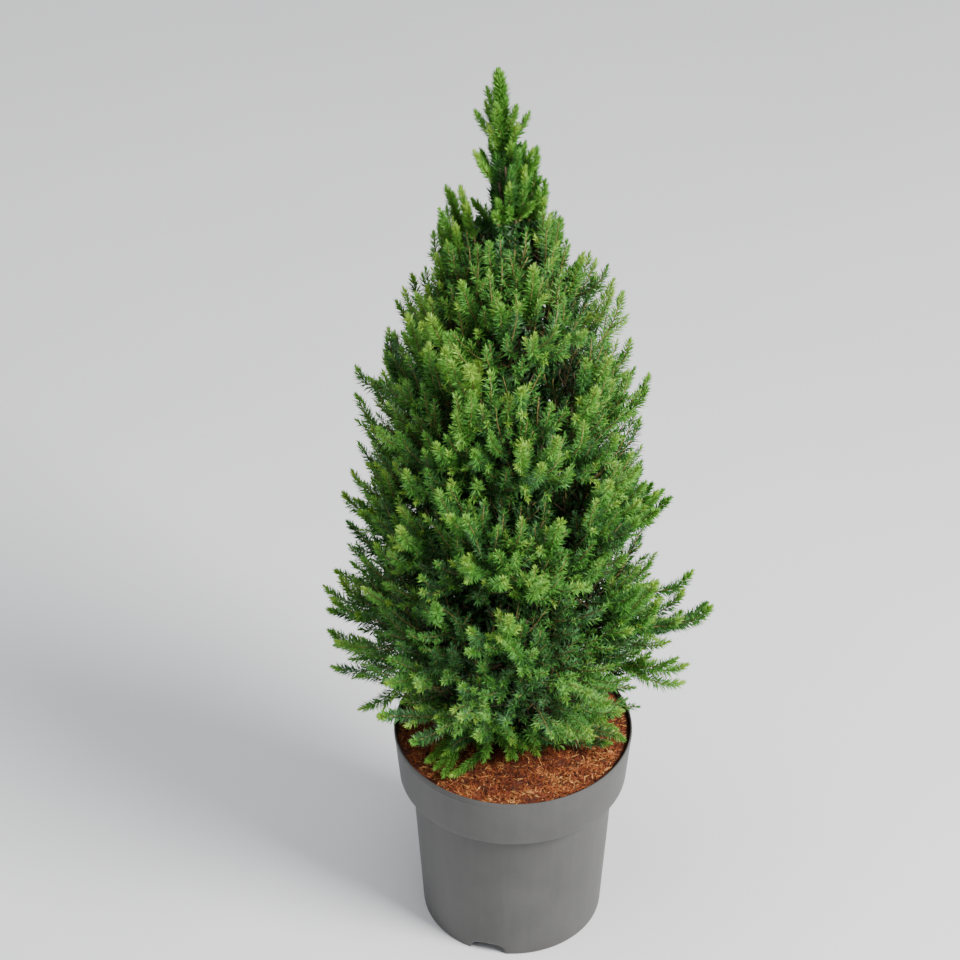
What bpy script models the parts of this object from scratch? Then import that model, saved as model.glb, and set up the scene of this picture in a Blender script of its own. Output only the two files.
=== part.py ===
"""A potted dwarf alberta spruce, about a metre tall, built from separate solids.

Metres, +Z up. The origin is the centre of the pot's flat underside, and the plant's front faces -Y.

The pot is a turned plastic shell filled with growing substrate under bark mulch. One tapering trunk
stands on the mulch and runs up through the crown. The crown is dealt out in tiers. Each tier is cut by
upright planes into wedges, and a wedge between two sloping shelves is the space of one mass of foliage.
A bough carries each mass, except near the top, where the masses grow straight from the trunk.
Inside a mass, one stem carries twigs, and sprays of needles branch from them by one seeded rule.
"""

import math
from collections import namedtuple

import bmesh
import bpy
import numpy as np
from mathutils import Matrix, Vector

# ---- driving dimensions -------------------------------------------------------------------------

GAP = 0.0003  # between two pieces that touch
MERGE = 0.00001  # merge distance of every modifier and weld
FINE_MERGE = 0.000001  # of a fused mass
FULL_TURN = 2 * math.pi
# Steps that deal points evenly over a rectangle, in any number.
GOLDEN_STEP = 0.7548777
SILVER_STEP = 0.5698403
SEED = 41

POT_SIDES = 36
POT_HEIGHT = 0.2445
RIM_RADIUS = 0.1265
COLLAR_RADIUS = 0.1210  # outside, at the collar's lower edge
COLLAR_FOOT = 0.1840  # height of the collar's lower edge
LEDGE_RADIUS = 0.1080  # outside, where the ledge under the collar meets the body
BASE_RADIUS = 0.0968
WALL = 0.0022
SKIRT = 0.0150  # height of the raised floor above the ground
CENTRE_FOOT = 0.0305  # radius of the flat foot in the middle of the underside
NOTCHES = 3
NOTCH_WIDTH = 0.038
NOTCH_HEIGHT = 0.0125
FIRST_NOTCH = math.radians(-106)

MULCH_CENTRE = 0.2375
MULCH_EDGE = 0.2375
MULCH_FLAT = 0.0240  # radius of the level middle that the trunk stands on

PLANT_HEIGHT = 1.04
TRUNK_TIP = 0.962
TRUNK_RADIUS = 0.0112
TRUNK_TIP_RADIUS = 0.0020
FLARE = 0.0060  # extra radius at the cut
FLARE_HEIGHT = 0.0180
TRUNK_OFFSET = -0.0040  # the trunk's foot, left of the pot's centre
TRUNK_LEAN = -0.0143  # how much further left the plant's top is
TRUNK_BOW = 0.0030  # towards the back at mid-height

CROWN_AXIS = (-0.012, 0.0)
# Outline of the crown: height, and the radius that the longest sprays reach there.
CROWN_OUTLINE = (
    (0.250, 0.105),
    (0.300, 0.168),
    (0.372, 0.186),
    (0.450, 0.174),
    (0.540, 0.158),
    (0.670, 0.137),
    (0.785, 0.108),
    (0.835, 0.072),
    (0.895, 0.048),
    (0.925, 0.032),
    (1.000, 0.024),
    (PLANT_HEIGHT, 0.004),
)

# Tips of the few shoots that stand out of the crown's outline, or hang below it.
LONG_SHOOTS = (
    (0.200, -0.030, 0.430),
    (0.183, 0.012, 0.447),
    (0.174, -0.034, 0.296),
    (-0.191, 0.000, 0.368),
    (-0.158, -0.020, 0.284),
    (-0.072, -0.080, 0.262),
    (-0.107, 0.004, 0.797),
    (0.100, -0.004, 0.800),
    (-0.066, 0.004, 0.912),
)

# A tier of the crown. Its lower shelf is floor + slope * distance from the axis, and the next tier's
# shelf is its upper one. lift is how steeply its sprays rise, in degrees, and size is their size.
Tier = namedtuple("Tier", "name masses floor slope bough_rise bough_reach stem_reach lift sprays size turn")
TIERS = (
    Tier("skirt", 6, 0.248, 0.05, 0.42, 0.34, 0.66, 14, 3, 1.0, 12),
    Tier("lower", 6, 0.330, 0.36, 0.58, 0.32, 0.66, 36, 3, 1.0, 42),
    Tier("middle", 5, 0.440, 0.56, 0.86, 0.32, 0.66, 50, 3, 1.0, 54),
    Tier("upper", 5, 0.548, 0.80, 1.10, 0.30, 0.66, 58, 3, 0.95, 54),
    Tier("shoulder", 4, 0.672, 1.10, 1.50, 0.28, 0.64, 66, 3, 0.8, 0),
    Tier("spire", 3, 0.831, 1.80, 2.60, 0.00, 0.60, 68, 3, 0.42, 30),
)
LEADER_FLOOR = 0.952
LEADER_SLOPE = 0.8
LEADER_SPRAYS = 5
LEADER_SIZE = 0.34
LEADER_CORE = 0.992  # height of its middle
LEADER_CORE_SIZE = (0.0110, 0.0110, 0.0280)

BOUGH_ROOT = 0.0048  # radius where the lowest boughs leave the trunk
BOUGH_TIP = 0.0026
BOUGH_POINTS = 3
STEM_POINTS = 4
STEM_STRAIGHT = 0.003  # first stretch, square to the bough's flat tip
TWIG_ROOT = 0.0017
TWIG_TIP = 0.0010
CLEAR = 0.0008  # least distance from a spray to a limb
SPACE_EDGE = 0.0006  # a mass keeps this far inside its space

SPRAY_SLIM = 0.28  # a spray's width as a share of its length
SPRAY_WIDEST = 0.026
SPRAY_LEAST = 0.032
SPRAY_MOST = 0.105
SPRAY_APART = 0.015  # between the outer parts of two sprays' axes
SPARE_TIPS = 1.6  # tips are dealt for this many times the sprays that a mass keeps
# Half the size of a core: along the wedge and up, as shares of the wedge's size there, and outwards, as
# a share of the crown's radius.
CORE_ACROSS = 0.82
MOST_SPREAD = 0.9  # of a wide wedge, as the tangent of half its angle
CORE_TALL = 0.40
CORE_DEEP = 0.19
CORE_MIDDLE = 0.55  # how far out the core's middle is, as a share of the crown's radius
CORE_BLUFF = 6  # 2 is a ball, and more swells it towards a block
CORE_ROOM = 1.05  # a core still fits in the crown when it is this much larger
CORE_SPIKE = 0.066  # how far the shoots over a core stand out of it
SPIKE_LEAST = 0.006
SPIKE_FACING = 0.05  # a face that looks this much back from the way of growth has no shoot
SPIKE_REACH = 0.93  # how far out they may reach, as a share of the crown's radius
STEM_RISE = 0.40  # where in its space, from floor to roof, a stem ends

HALVINGS = 20
LIMB_LOOKS = 60  # places along a limb where it is tested against a core
UP = np.array((0.0, 0.0, 1.0))
SIDEWAYS = np.array((0.0, 1.0, 1.0))


# ---- materials ----------------------------------------------------------------------------------


def surface(name, colour, roughness):
    """A Principled BSDF of one colour (linear RGB)."""
    material = bpy.data.materials.new(name)
    material.use_nodes = True
    shader = material.node_tree.nodes["Principled BSDF"]
    shader.inputs["Base Color"].default_value = (*colour, 1)
    shader.inputs["Roughness"].default_value = roughness
    shader.inputs["Metallic"].default_value = 0
    return material


# ---- small helpers ------------------------------------------------------------------------------


def place(name, mesh, collection, material):
    """A named object for a mesh, at the origin."""
    piece = bpy.data.objects.new(name, mesh)
    mesh.materials.clear()
    mesh.materials.append(material)
    collection.objects.link(piece)
    return piece


def evaluated_mesh(piece):
    """The object's mesh with its modifiers, as a new mesh in the object's own axes."""
    graph = bpy.context.evaluated_depsgraph_get()
    return bpy.data.meshes.new_from_object(piece.evaluated_get(graph))


def weld(mesh):
    """Merges the points that lie on each other."""
    form = bmesh.new()
    form.from_mesh(mesh)
    bmesh.ops.remove_doubles(form, verts=form.verts, dist=MERGE)
    form.to_mesh(mesh)
    form.free()


def turned(name, profile, collection, material):
    """A solid of revolution. The profile runs from the axis round to the axis, down its outer side."""
    mesh = bpy.data.meshes.new(name)
    edges = [(i, i + 1) for i in range(len(profile) - 1)]
    mesh.from_pydata([(radius, 0, height) for radius, height in profile], edges, [])
    piece = place(name, mesh, collection, material)
    screw = piece.modifiers.new("turn", "SCREW")
    screw.steps = POT_SIDES
    screw.render_steps = POT_SIDES
    screw.use_merge_vertices = True
    screw.merge_threshold = MERGE
    screw.use_smooth_shade = True
    return piece


def unit(vector):
    return vector / np.linalg.norm(vector)


def limb(name, centres, radii, sides, collection, material):
    """A round tapering limb along a path, as a welded mesh."""
    curve = bpy.data.curves.new(name, "CURVE")
    curve.dimensions = "3D"
    curve.bevel_depth = 1
    curve.bevel_resolution = (sides - 4) // 2
    curve.use_fill_caps = True
    spline = curve.splines.new("POLY")
    spline.points.add(len(centres) - 1)
    for point, centre, radius in zip(spline.points, centres, radii):
        point.co = (*centre, 1)
        point.radius = radius
    guide = bpy.data.objects.new(name + "_path", curve)
    collection.objects.link(guide)
    mesh = evaluated_mesh(guide)
    bpy.data.objects.remove(guide)
    bpy.data.curves.remove(curve)
    weld(mesh)
    mesh.shade_smooth()
    return place(name, mesh, collection, material)


# ---- pot and mulch ------------------------------------------------------------------------------

LIP = 0.0009
# The inside of the pot, from the middle of its floor up to the rim.
POT_INSIDE = (
    (0.0, WALL + GAP),
    (CENTRE_FOOT - WALL, WALL + GAP),
    (CENTRE_FOOT + WALL, SKIRT + WALL),
    (BASE_RADIUS - WALL + 0.001, SKIRT + WALL),
    (LEDGE_RADIUS - WALL, COLLAR_FOOT),
    (COLLAR_RADIUS - WALL, COLLAR_FOOT + WALL),
    (RIM_RADIUS - WALL, POT_HEIGHT - LIP),
)
# The outside, from the rim down to the middle of the underside.
POT_OUTSIDE = (
    (RIM_RADIUS - WALL / 2, POT_HEIGHT),
    (RIM_RADIUS, POT_HEIGHT - LIP),
    (RIM_RADIUS, POT_HEIGHT - 5 * LIP),
    (RIM_RADIUS - LIP, POT_HEIGHT - 6 * LIP),
    (COLLAR_RADIUS, COLLAR_FOOT + LIP),
    (COLLAR_RADIUS - LIP, COLLAR_FOOT),
    (LEDGE_RADIUS, COLLAR_FOOT - WALL),
    (BASE_RADIUS, 3 * LIP),
    (BASE_RADIUS - LIP, 0.0),
    (BASE_RADIUS - LIP - WALL, 0.0),
    (BASE_RADIUS - WALL, SKIRT),
    (CENTRE_FOOT + 2 * WALL, SKIRT),
    (CENTRE_FOOT, 0.0),
    (0.0, 0.0),
)


def pot(collection, cutters, material):
    """A turned shell with a raised floor, and drain notches cut through its skirt."""
    shell = turned("pot", (*POT_INSIDE, *POT_OUTSIDE), collection, material)
    depth = 5 * WALL
    for index in range(NOTCHES):
        angle = FIRST_NOTCH + FULL_TURN * index / NOTCHES
        form = bmesh.new()
        size = Matrix.Diagonal((depth, NOTCH_WIDTH, 2 * NOTCH_HEIGHT, 1))
        bmesh.ops.create_cube(form, size=1, matrix=size)
        bends = [edge for edge in form.edges if abs(edge.verts[0].co.x - edge.verts[1].co.x) > depth / 2]
        bmesh.ops.bevel(form, geom=bends, offset=0.95 * NOTCH_HEIGHT, segments=4, affect="EDGES", profile=0.5)
        mesh = bpy.data.meshes.new("notch")
        form.to_mesh(mesh)
        form.free()
        cutter = place(f"notch_cutter_{index + 1}", mesh, cutters, material)
        middle = BASE_RADIUS - WALL / 2
        cutter.location = (middle * math.cos(angle), middle * math.sin(angle), 0)
        cutter.rotation_euler = (0, 0, angle)
        cutter.hide_render = True
        cutter.display_type = "WIRE"
        cut = shell.modifiers.new(f"notch_{index + 1}", "BOOLEAN")
        cut.operation = "DIFFERENCE"
        cut.object = cutter
    return shell


def substrate(collection, material):
    """The filling, 0.3 mm inside the pot, with a low dome of mulch on top."""
    slope = (RIM_RADIUS - COLLAR_RADIUS) / (POT_HEIGHT - COLLAR_FOOT)
    edge = COLLAR_RADIUS - WALL - GAP + slope * (MULCH_EDGE - COLLAR_FOOT - WALL)
    top = (
        (0.0, MULCH_CENTRE),
        (MULCH_FLAT, MULCH_CENTRE),
        (0.075, (2 * MULCH_CENTRE + MULCH_EDGE) / 3),
        (edge - 0.004, MULCH_EDGE + 0.001),
        (edge, MULCH_EDGE - 0.001),
    )
    sides = [(radius - 1.2 * GAP, height + 1.2 * GAP) for radius, height in POT_INSIDE[-2:0:-1]]
    bottom = (0.0, sides[-1][1])
    return turned("bark_mulch", (*top, *sides, bottom), collection, material)


# ---- trunk and boughs ---------------------------------------------------------------------------

# centres is an array of points along a limb, and radii has its radius at each.
Limb = namedtuple("Limb", "centres radii")


def trunk_centre(height):
    """The trunk's middle at a height: it leans left more and more, and bows back a little."""
    rise = (height - MULCH_CENTRE) / (PLANT_HEIGHT - MULCH_CENTRE)
    return np.array((TRUNK_OFFSET + TRUNK_LEAN * rise**5, TRUNK_BOW * math.sin(math.pi * rise), height))


def trunk_radius(height):
    """Tapers almost evenly to the tip, and flares at the foot."""
    rise = (height - MULCH_CENTRE) / (TRUNK_TIP - MULCH_CENTRE)
    taper = TRUNK_TIP_RADIUS + (TRUNK_RADIUS - TRUNK_TIP_RADIUS) * max(0.0, 1 - rise) ** 0.9
    return taper + FLARE * math.exp(-(height - MULCH_CENTRE) / FLARE_HEIGHT)


def trunk_limb():
    """The trunk from its flat cut to its tip, with more rings in the flare."""
    steps = np.linspace(0, 1, 16) ** 1.5
    heights = MULCH_CENTRE + GAP + (TRUNK_TIP - MULCH_CENTRE - GAP) * steps
    return Limb(
        np.array([trunk_centre(height) for height in heights]),
        np.array([trunk_radius(height) for height in heights]),
    )


def crown_radius(height):
    heights, radii = zip(*CROWN_OUTLINE)
    return float(np.interp(height, heights, radii))


def outward(angle):
    return np.array((math.cos(angle), math.sin(angle), 0.0))


def bough_limb(tier, angle, step):
    """From the trunk's middle out and up to where its mass begins. step staggers the boughs' feet."""
    foot = trunk_centre(tier.floor + 0.016 + 0.007 * step)
    reach = tier.bough_reach * crown_radius(tier.floor + 0.06)
    share = np.linspace(0, 1, BOUGH_POINTS)
    rise = np.outer(share**0.85 * reach * tier.bough_rise, UP)
    centres = foot + np.outer(share * reach, outward(angle)) + rise
    root = BOUGH_ROOT * trunk_radius(foot[2]) / TRUNK_RADIUS
    return Limb(centres, root + (BOUGH_TIP - root) * share**0.7)


def cut_by_trunk(bough, fat_trunk):
    """Cuts the bough's foot to the trunk's surface, 0.3 mm clear, and keeps the result."""
    cut = bough.modifiers.new("foot", "BOOLEAN")
    cut.operation = "DIFFERENCE"
    cut.object = fat_trunk
    old = bough.data
    bough.data = evaluated_mesh(bough)
    bough.modifiers.clear()
    bpy.data.meshes.remove(old)
    bough.data.name = bough.name


# ---- the space of a mass ------------------------------------------------------------------------

# sides are the inward normals of the two upright planes. A shelf is a height and a slope.
Space = namedtuple("Space", "axis middle sides floor floor_slope roof roof_slope")


def wedge(tier, above_floor, above_slope, angle):
    """The space between two upright planes and two shelves. Its roof is a plane under the shelf above."""
    half = math.pi / tier.masses
    left = angle + half - math.pi / 2
    right = angle - half + math.pi / 2
    axis = np.array((*CROWN_AXIS, 0.0))
    if tier.name == "spire":
        axis = trunk_centre(0.5 * (tier.floor + LEADER_FLOOR)) * (1, 1, 0)
    sides = (outward(left), outward(right))
    return Space(axis, outward(angle), sides, tier.floor, tier.slope, above_floor, above_slope)


def leader_space():
    axis = trunk_centre(LEADER_FLOOR) * (1, 1, 0)
    return Space(axis, outward(0), (), LEADER_FLOOR, LEADER_SLOPE, None, 0)


def inside(points, space):
    """True if every point lies in the space. The space is convex, so what spans the points does too."""
    arm = points - space.axis
    radius = np.hypot(arm[:, 0], arm[:, 1])
    fits = points[:, 2] >= space.floor + space.floor_slope * radius + SPACE_EDGE
    if space.roof is not None:
        fits &= points[:, 2] <= space.roof + space.roof_slope * (arm @ space.middle) - SPACE_EDGE
    for side in space.sides:
        fits &= arm @ side >= SPACE_EDGE
    return bool(fits.all())


def clear_of(points, limbs):
    """True if every point keeps CLEAR from the surface of every limb."""
    for path in limbs:
        starts, ends = path.centres[:-1], path.centres[1:]
        runs = ends - starts
        share = np.einsum("psk,sk->ps", points[:, None] - starts, runs) / (runs**2).sum(1)
        share = share.clip(0, 1)
        nearest = starts + share[..., None] * runs
        away = np.linalg.norm(points[:, None] - nearest, axis=2)
        radii = path.radii[:-1] + share * np.diff(path.radii)
        if (away < radii + CLEAR).any():
            return False
    return True


# ---- foliage ------------------------------------------------------------------------------------

# A spray of unit length and width. Its first ring has three teeth and three hollows, and its second
# ring has three teeth over those hollows.
NECK = 0.045
TOOTH, TOOTH_AT = 0.48, 0.46
HOLLOW, HOLLOW_AT = 0.20, 0.30
FORE_TOOTH, FORE_TOOTH_AT = 0.34, 0.80


def spray_shape():
    """A toothed spindle: a three-sided neck, two rings of teeth that lean forward, and a point."""
    thirds = [FULL_TURN * corner / 3 for corner in range(3)]
    points = []
    for radius, height, turn in (
        (NECK, 0.0, 0.0),
        (TOOTH, TOOTH_AT, 0.0),
        (HOLLOW, HOLLOW_AT, math.pi / 3),
        (FORE_TOOTH, FORE_TOOTH_AT, math.pi / 3),
    ):
        for third in thirds:
            points.append((radius * math.cos(third + turn), radius * math.sin(third + turn), height))
    points.append((0.0, 0.0, 1.0))
    tip = len(points) - 1
    faces = [(2, 1, 0)]
    for neck in range(3):
        neck_next = (neck + 1) % 3
        tooth, tooth_next = 3 + neck, 3 + neck_next
        hollow, fore, fore_next = 6 + neck, 9 + neck, 9 + neck_next
        faces += [
            (neck, hollow, tooth),
            (neck, neck_next, hollow),
            (neck_next, tooth_next, hollow),
            (tooth, hollow, fore),
            (hollow, tooth_next, fore),
            (tooth_next, fore_next, fore),
            (fore, fore_next, tip),
        ]
    return np.array(points), faces


SPRAY_POINTS, SPRAY_FACES = spray_shape()


def frame_along(direction, roll):
    """Three axes as columns: the third is the direction, and the others are turned round it by roll."""
    across = np.cross(direction, UP if abs(direction[2]) < 0.9 else np.array((1.0, 0.0, 0.0)))
    across = unit(across)
    other = np.cross(direction, across)
    first = math.cos(roll) * across + math.sin(roll) * other
    return np.column_stack((first, np.cross(direction, first), direction))


def spray_points(root, tip, roll):
    """A spray's points between its root and its tip."""
    length = np.linalg.norm(tip - root)
    width = min(SPRAY_SLIM * length, SPRAY_WIDEST)
    scaled = SPRAY_POINTS * (width, width, length)
    return root + scaled @ frame_along((tip - root) / length, roll).T


def tested_points(points):
    """A spray's points with the middles of its faces, for the tests against space and limbs."""
    return np.vstack((points, [points[list(face)].mean(0) for face in SPRAY_FACES]))


def stem_limb(start, direction, end, radius):
    """A stem that leaves in one direction and bends evenly to its end."""
    share = np.linspace(0, 1, STEM_POINTS)[:, None]
    straight = start + direction * STEM_STRAIGHT
    middle = straight + direction * np.linalg.norm(end - start) * 0.5
    bend = (1 - share) ** 2 * straight + 2 * share * (1 - share) * middle + share**2 * end
    return Limb(np.vstack((start, bend)), np.linspace(radius, TWIG_TIP, STEM_POINTS + 1))


def along(path, share):
    """The point at a share of a limb's length."""
    place_on = share * (len(path.centres) - 1)
    index = min(int(place_on), len(path.centres) - 2)
    return path.centres[index] + (place_on - index) * (path.centres[index + 1] - path.centres[index])


def tip_in_space(space, share_up, turn, depth):
    """A point on the crown's outline. share_up goes from the space's floor to its roof."""
    below, above = space.floor, PLANT_HEIGHT
    for _ in range(HALVINGS):
        height = (below + above) / 2
        radius = crown_radius(height) * (1 - depth)
        low = space.floor + space.floor_slope * radius
        high = PLANT_HEIGHT if space.roof is None else space.roof + space.roof_slope * radius
        if height > low + share_up * (high - low):
            above = height
        else:
            below = height
    cosine, sine = math.cos(turn), math.sin(turn)
    middle = space.middle
    way = np.array((cosine * middle[0] - sine * middle[1], sine * middle[0] + cosine * middle[1], 0))
    return crown_axis(height) + way * radius


def crown_axis(height):
    """The crown's own middle, which follows the trunk near the top."""
    if height > 0.9:
        return trunk_centre(height)
    return np.array((*CROWN_AXIS, height))


def dealt_tips(space, half, count, random):
    """Tips dealt evenly over the outer face of a space by golden steps, some of them set back."""
    tips = []
    for index in range(count):
        share_up = 0.06 + 0.90 * ((index * SILVER_STEP) % 1)
        turn = 0.90 * half * (2 * ((index * GOLDEN_STEP + 0.1 * random.random()) % 1) - 1)
        depth = (0.0, 0.10, 0.24)[index % 3] + 0.05 * random.random()
        tips.append(tip_in_space(space, share_up, turn, depth))
    return tips


def rooted(tip, paths, lift, size, random):
    """The place on the mass's twigs where a spray leaves, so that it rises as its tier's sprays do."""
    best, chosen = None, None
    for path in paths:
        for share in np.linspace(0.12, 0.96, 9):
            root = along(path, share + 0.02 * random.random())
            run = tip - root
            length = np.linalg.norm(run)
            if length < SPRAY_LEAST * size:
                continue
            rise = math.degrees(math.asin(run[2] / length))
            cost = abs(rise - lift) / 25 + length / (SPRAY_MOST * size) + (length > SPRAY_MOST * size) * 4
            if best is None or cost < best:
                best, chosen = cost, root
    return chosen


def crowded(axis, others, size):
    """True if the outer part of a spray's axis comes too near the outer part of another's."""
    for other in others:
        away = np.linalg.norm(axis[:, None] - other[None], axis=2)
        if away.min() < SPRAY_APART * size:
            return True
    return False


def sprays(space, tips, paths, lift, size, limbs, most, random):
    """The sprays that fit: each is drawn back from its tip until it fits, or is left out."""
    kept = []
    axes = []
    for tip in tips:
        if len(kept) == most:
            break
        root = rooted(tip, paths, lift, size, random)
        roll = FULL_TURN * random.random()
        if root is None:
            continue
        run = tip - root
        if np.linalg.norm(run) > SPRAY_MOST * size:
            run = run * SPRAY_MOST * size / np.linalg.norm(run)
        for share in (1.0, 0.9, 0.8, 0.7, 0.6, 0.5):
            points = spray_points(root, root + run * share, roll)
            if np.linalg.norm(run) * share < SPRAY_LEAST * size:
                break
            axis = root + np.outer((0.4, 0.6, 0.8, 1.0), run * share)
            if crowded(axis, axes, size):
                continue
            if inside(tested_points(points), space) and clear_of(tested_points(points), limbs):
                kept.append(points)
                axes.append(axis)
                break
    return kept


def spray_object(name, points, collection, material):
    mesh = bpy.data.meshes.new(name)
    mesh.from_pydata(points.tolist(), [], SPRAY_FACES)
    return place(name, mesh, collection, material)


def growth(middle, lift):
    """The way that shoots grow in a mass: outwards, rising by the tier's lift."""
    return middle * math.cos(math.radians(lift)) + UP * math.sin(math.radians(lift))


def core_form(middle, size, axes, widening):
    """A faceted ball, swollen towards a block and stretched along three axes. It widens along the first."""
    form = bmesh.new()
    bmesh.ops.create_icosphere(form, subdivisions=2, radius=1)
    for vertex in form.verts:
        point = np.array(vertex.co)
        point /= (point**CORE_BLUFF).sum() ** (1 / CORE_BLUFF)
        vertex.co = middle + axes @ (point * size * (1 + widening * point[0] * SIDEWAYS))
    return form


def form_points(form):
    """A form's points and the middles of its faces."""
    points = [vertex.co for vertex in form.verts] + [face.calc_center_median() for face in form.faces]
    return np.array(points)


def passes_by(path, form):
    """True if a limb keeps CLEAR from a form, which has no hollows. Each face's plane is tested."""
    form.normal_update()
    normals = np.array([face.normal for face in form.faces])
    centres = np.array([face.calc_center_median() for face in form.faces])
    steps = np.arange(len(path.radii))
    looks = np.linspace(0, steps[-1], LIMB_LOOKS)
    points = np.column_stack([np.interp(looks, steps, path.centres[:, axis]) for axis in range(3)])
    away = ((points[:, None] - centres) * normals).sum(2).max(1)
    return bool((away > np.interp(looks, steps, path.radii) + CLEAR).all())


def in_crown(point):
    """True if a point lies within the part of the crown that a core's shoots fill."""
    away = point - crown_axis(point[2])
    wide = math.hypot(away[0], away[1]) <= SPIKE_REACH * crown_radius(point[2])
    return wide and point[2] < PLANT_HEIGHT - SPIKE_LEAST


def spiked(form, way, size, space, limbs, random):
    """Draws the middle of each face that looks outwards into a shoot that leans the way the mass grows."""
    form.normal_update()
    faces = [face for face in form.faces if np.array(face.normal) @ way > -SPIKE_FACING]
    normals = [np.array(face.normal) for face in faces]
    poked = bmesh.ops.poke(form, faces=faces)["verts"]
    for vertex, normal in zip(poked, normals):
        root = np.array(vertex.co)
        run = unit(normal + 0.8 * way)
        length = size * CORE_SPIKE * (0.55 + 0.45 * float(normal @ way)) * (0.7 + 0.6 * random.random())
        while length > SPIKE_LEAST:
            tip = root + run * length
            row = root + np.outer((0.4, 0.7, 1.0), run * length)
            if in_crown(tip) and inside(row, space) and clear_of(row, limbs):
                vertex.co = tip
                break
            length *= 0.85


def wedge_core(space, half):
    """The middle, half sizes, axes and widening of the block that fills the middle of a wedge."""
    middle = tip_in_space(space, 0.42, 0.0, 1 - CORE_MIDDLE)
    radius = np.linalg.norm((middle - space.axis)[:2])
    tall = space.roof - space.floor + (space.roof_slope - space.floor_slope) * radius
    slant = unit(space.middle + UP * (space.roof_slope + space.floor_slope) / 2)
    across = np.cross(UP, space.middle)
    level = slant @ space.middle
    deep = CORE_DEEP * radius / CORE_MIDDLE
    wide = CORE_ACROSS * radius * min(math.tan(half), MOST_SPREAD)
    reach = np.array((deep / level, wide, CORE_TALL * tall * level))
    return middle, reach, np.column_stack((slant, across, np.cross(slant, across))), deep / radius


def fitted_core(name, block, way, size, space, limbs, collection, material, random):
    """The core in the middle of a space, made smaller until it fits, with shoots drawn out of it."""
    middle, reach, axes, widening = block
    for share in np.linspace(1.0, 0.4, 13):
        form = core_form(middle, reach * share, axes, widening)
        points = form_points(form)
        room = all(in_crown(middle + CORE_ROOM * (point - middle)) for point in points)
        if room and inside(points, space) and all(passes_by(path, form) for path in limbs):
            spiked(form, way, size, space, limbs, random)
            mesh = bpy.data.meshes.new(name)
            form.to_mesh(mesh)
            form.free()
            return place(name, mesh, collection, material)
        form.free()
    return None


def fused(name, base, collection, material):
    """Joins a collection's objects to the base in one union, and keeps the largest closed part."""
    join = base.modifiers.new("fuse", "BOOLEAN")
    join.operation = "UNION"
    join.operand_type = "COLLECTION"
    join.collection = collection
    for solver in ("EXACT", "MANIFOLD"):
        join.solver = solver
        mesh = evaluated_mesh(base)
        if largest_part(mesh):
            break
    base.modifiers.clear()
    for piece in list(collection.objects):
        bpy.data.objects.remove(piece)
    bpy.data.collections.remove(collection)
    old = base.data
    base.data = mesh
    bpy.data.meshes.remove(old)
    mesh.name = name
    mesh.materials.clear()
    mesh.materials.append(material)
    return base


def largest_part(mesh):
    """Drops loose scraps and the walls of sealed hollows. True if what is left is one closed surface."""
    form = bmesh.new()
    form.from_mesh(mesh)
    bmesh.ops.remove_doubles(form, verts=form.verts, dist=FINE_MERGE)
    unseen = set(form.faces)
    parts = []
    while unseen:
        front = [unseen.pop()]
        part = set(front)
        while front:
            for edge in front.pop().edges:
                for face in edge.link_faces:
                    if face in unseen:
                        unseen.discard(face)
                        part.add(face)
                        front.append(face)
        parts.append(part)
    largest = max(parts, key=len)
    bmesh.ops.delete(form, geom=[face for face in form.faces if face not in largest], context="FACES")
    bmesh.ops.triangulate(form, faces=form.faces)
    closed = all(edge.is_manifold for edge in form.edges)
    form.to_mesh(mesh)
    form.free()
    return closed


def side_twigs(stem, space, limbs, half):
    """Two straight twigs that fan from the stem's first third towards the wedge's sides."""
    twigs = []
    start = along(stem, 0.22)
    reach = along(stem, 1.0) - start
    for side in (-1, 1):
        turn = side * 0.62 * half + side * 0.28
        cosine, sine = math.cos(turn), math.sin(turn)
        run = np.array((cosine * reach[0] - sine * reach[1], sine * reach[0] + cosine * reach[1], reach[2]))
        for share in (0.5, 0.4):
            centres = start + np.outer(np.linspace(0, share, 5), run)
            if inside(centres[1:], space) and clear_of(centres[1:], limbs):
                twigs.append(Limb(centres, np.linspace(TWIG_ROOT, TWIG_TIP, 5)))
                break
    return twigs


def twig_object(name, twig, collection, material):
    """A straight three-sided twig."""
    start, end = twig.centres[0], twig.centres[-1]
    length = np.linalg.norm(end - start)
    form = bmesh.new()
    bmesh.ops.create_cone(
        form,
        segments=3,
        radius1=TWIG_ROOT,
        radius2=TWIG_TIP,
        depth=length,
        cap_ends=True,
    )
    mesh = bpy.data.meshes.new(name)
    form.to_mesh(mesh)
    form.free()
    turn = Matrix(frame_along((end - start) / length, 0.0).tolist()).to_4x4()
    mesh.transform(Matrix.Translation(Vector((start + end) / 2)) @ turn)
    return place(name, mesh, collection, material)


def mass(name, stem, space, half, block, lift, size, tips, most, limbs, collection, materials, random):
    """One mass: stem, side twigs, core and sprays, fused into one solid."""
    needles = materials["needles"]
    loose = bpy.data.collections.new(name + "_loose")
    bpy.context.scene.collection.children.link(loose)
    twigs = side_twigs(stem, space, limbs, half) if half else []
    base = limb(name, stem.centres, stem.radii, 4, collection, needles)
    for index, twig in enumerate(twigs):
        twig_object(f"{name}_twig_{index}", twig, loose, needles)
    way = growth(space.middle, lift)
    fitted_core(name + "_core", block, way, size, space, limbs, loose, needles, random)
    for index, points in enumerate(sprays(space, tips, [stem, *twigs], lift, size, limbs, most, random)):
        spray_object(f"{name}_spray_{index}", points, loose, needles)
    return fused(name, base, loose, needles)


# ---- the whole plant ----------------------------------------------------------------------------


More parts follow.
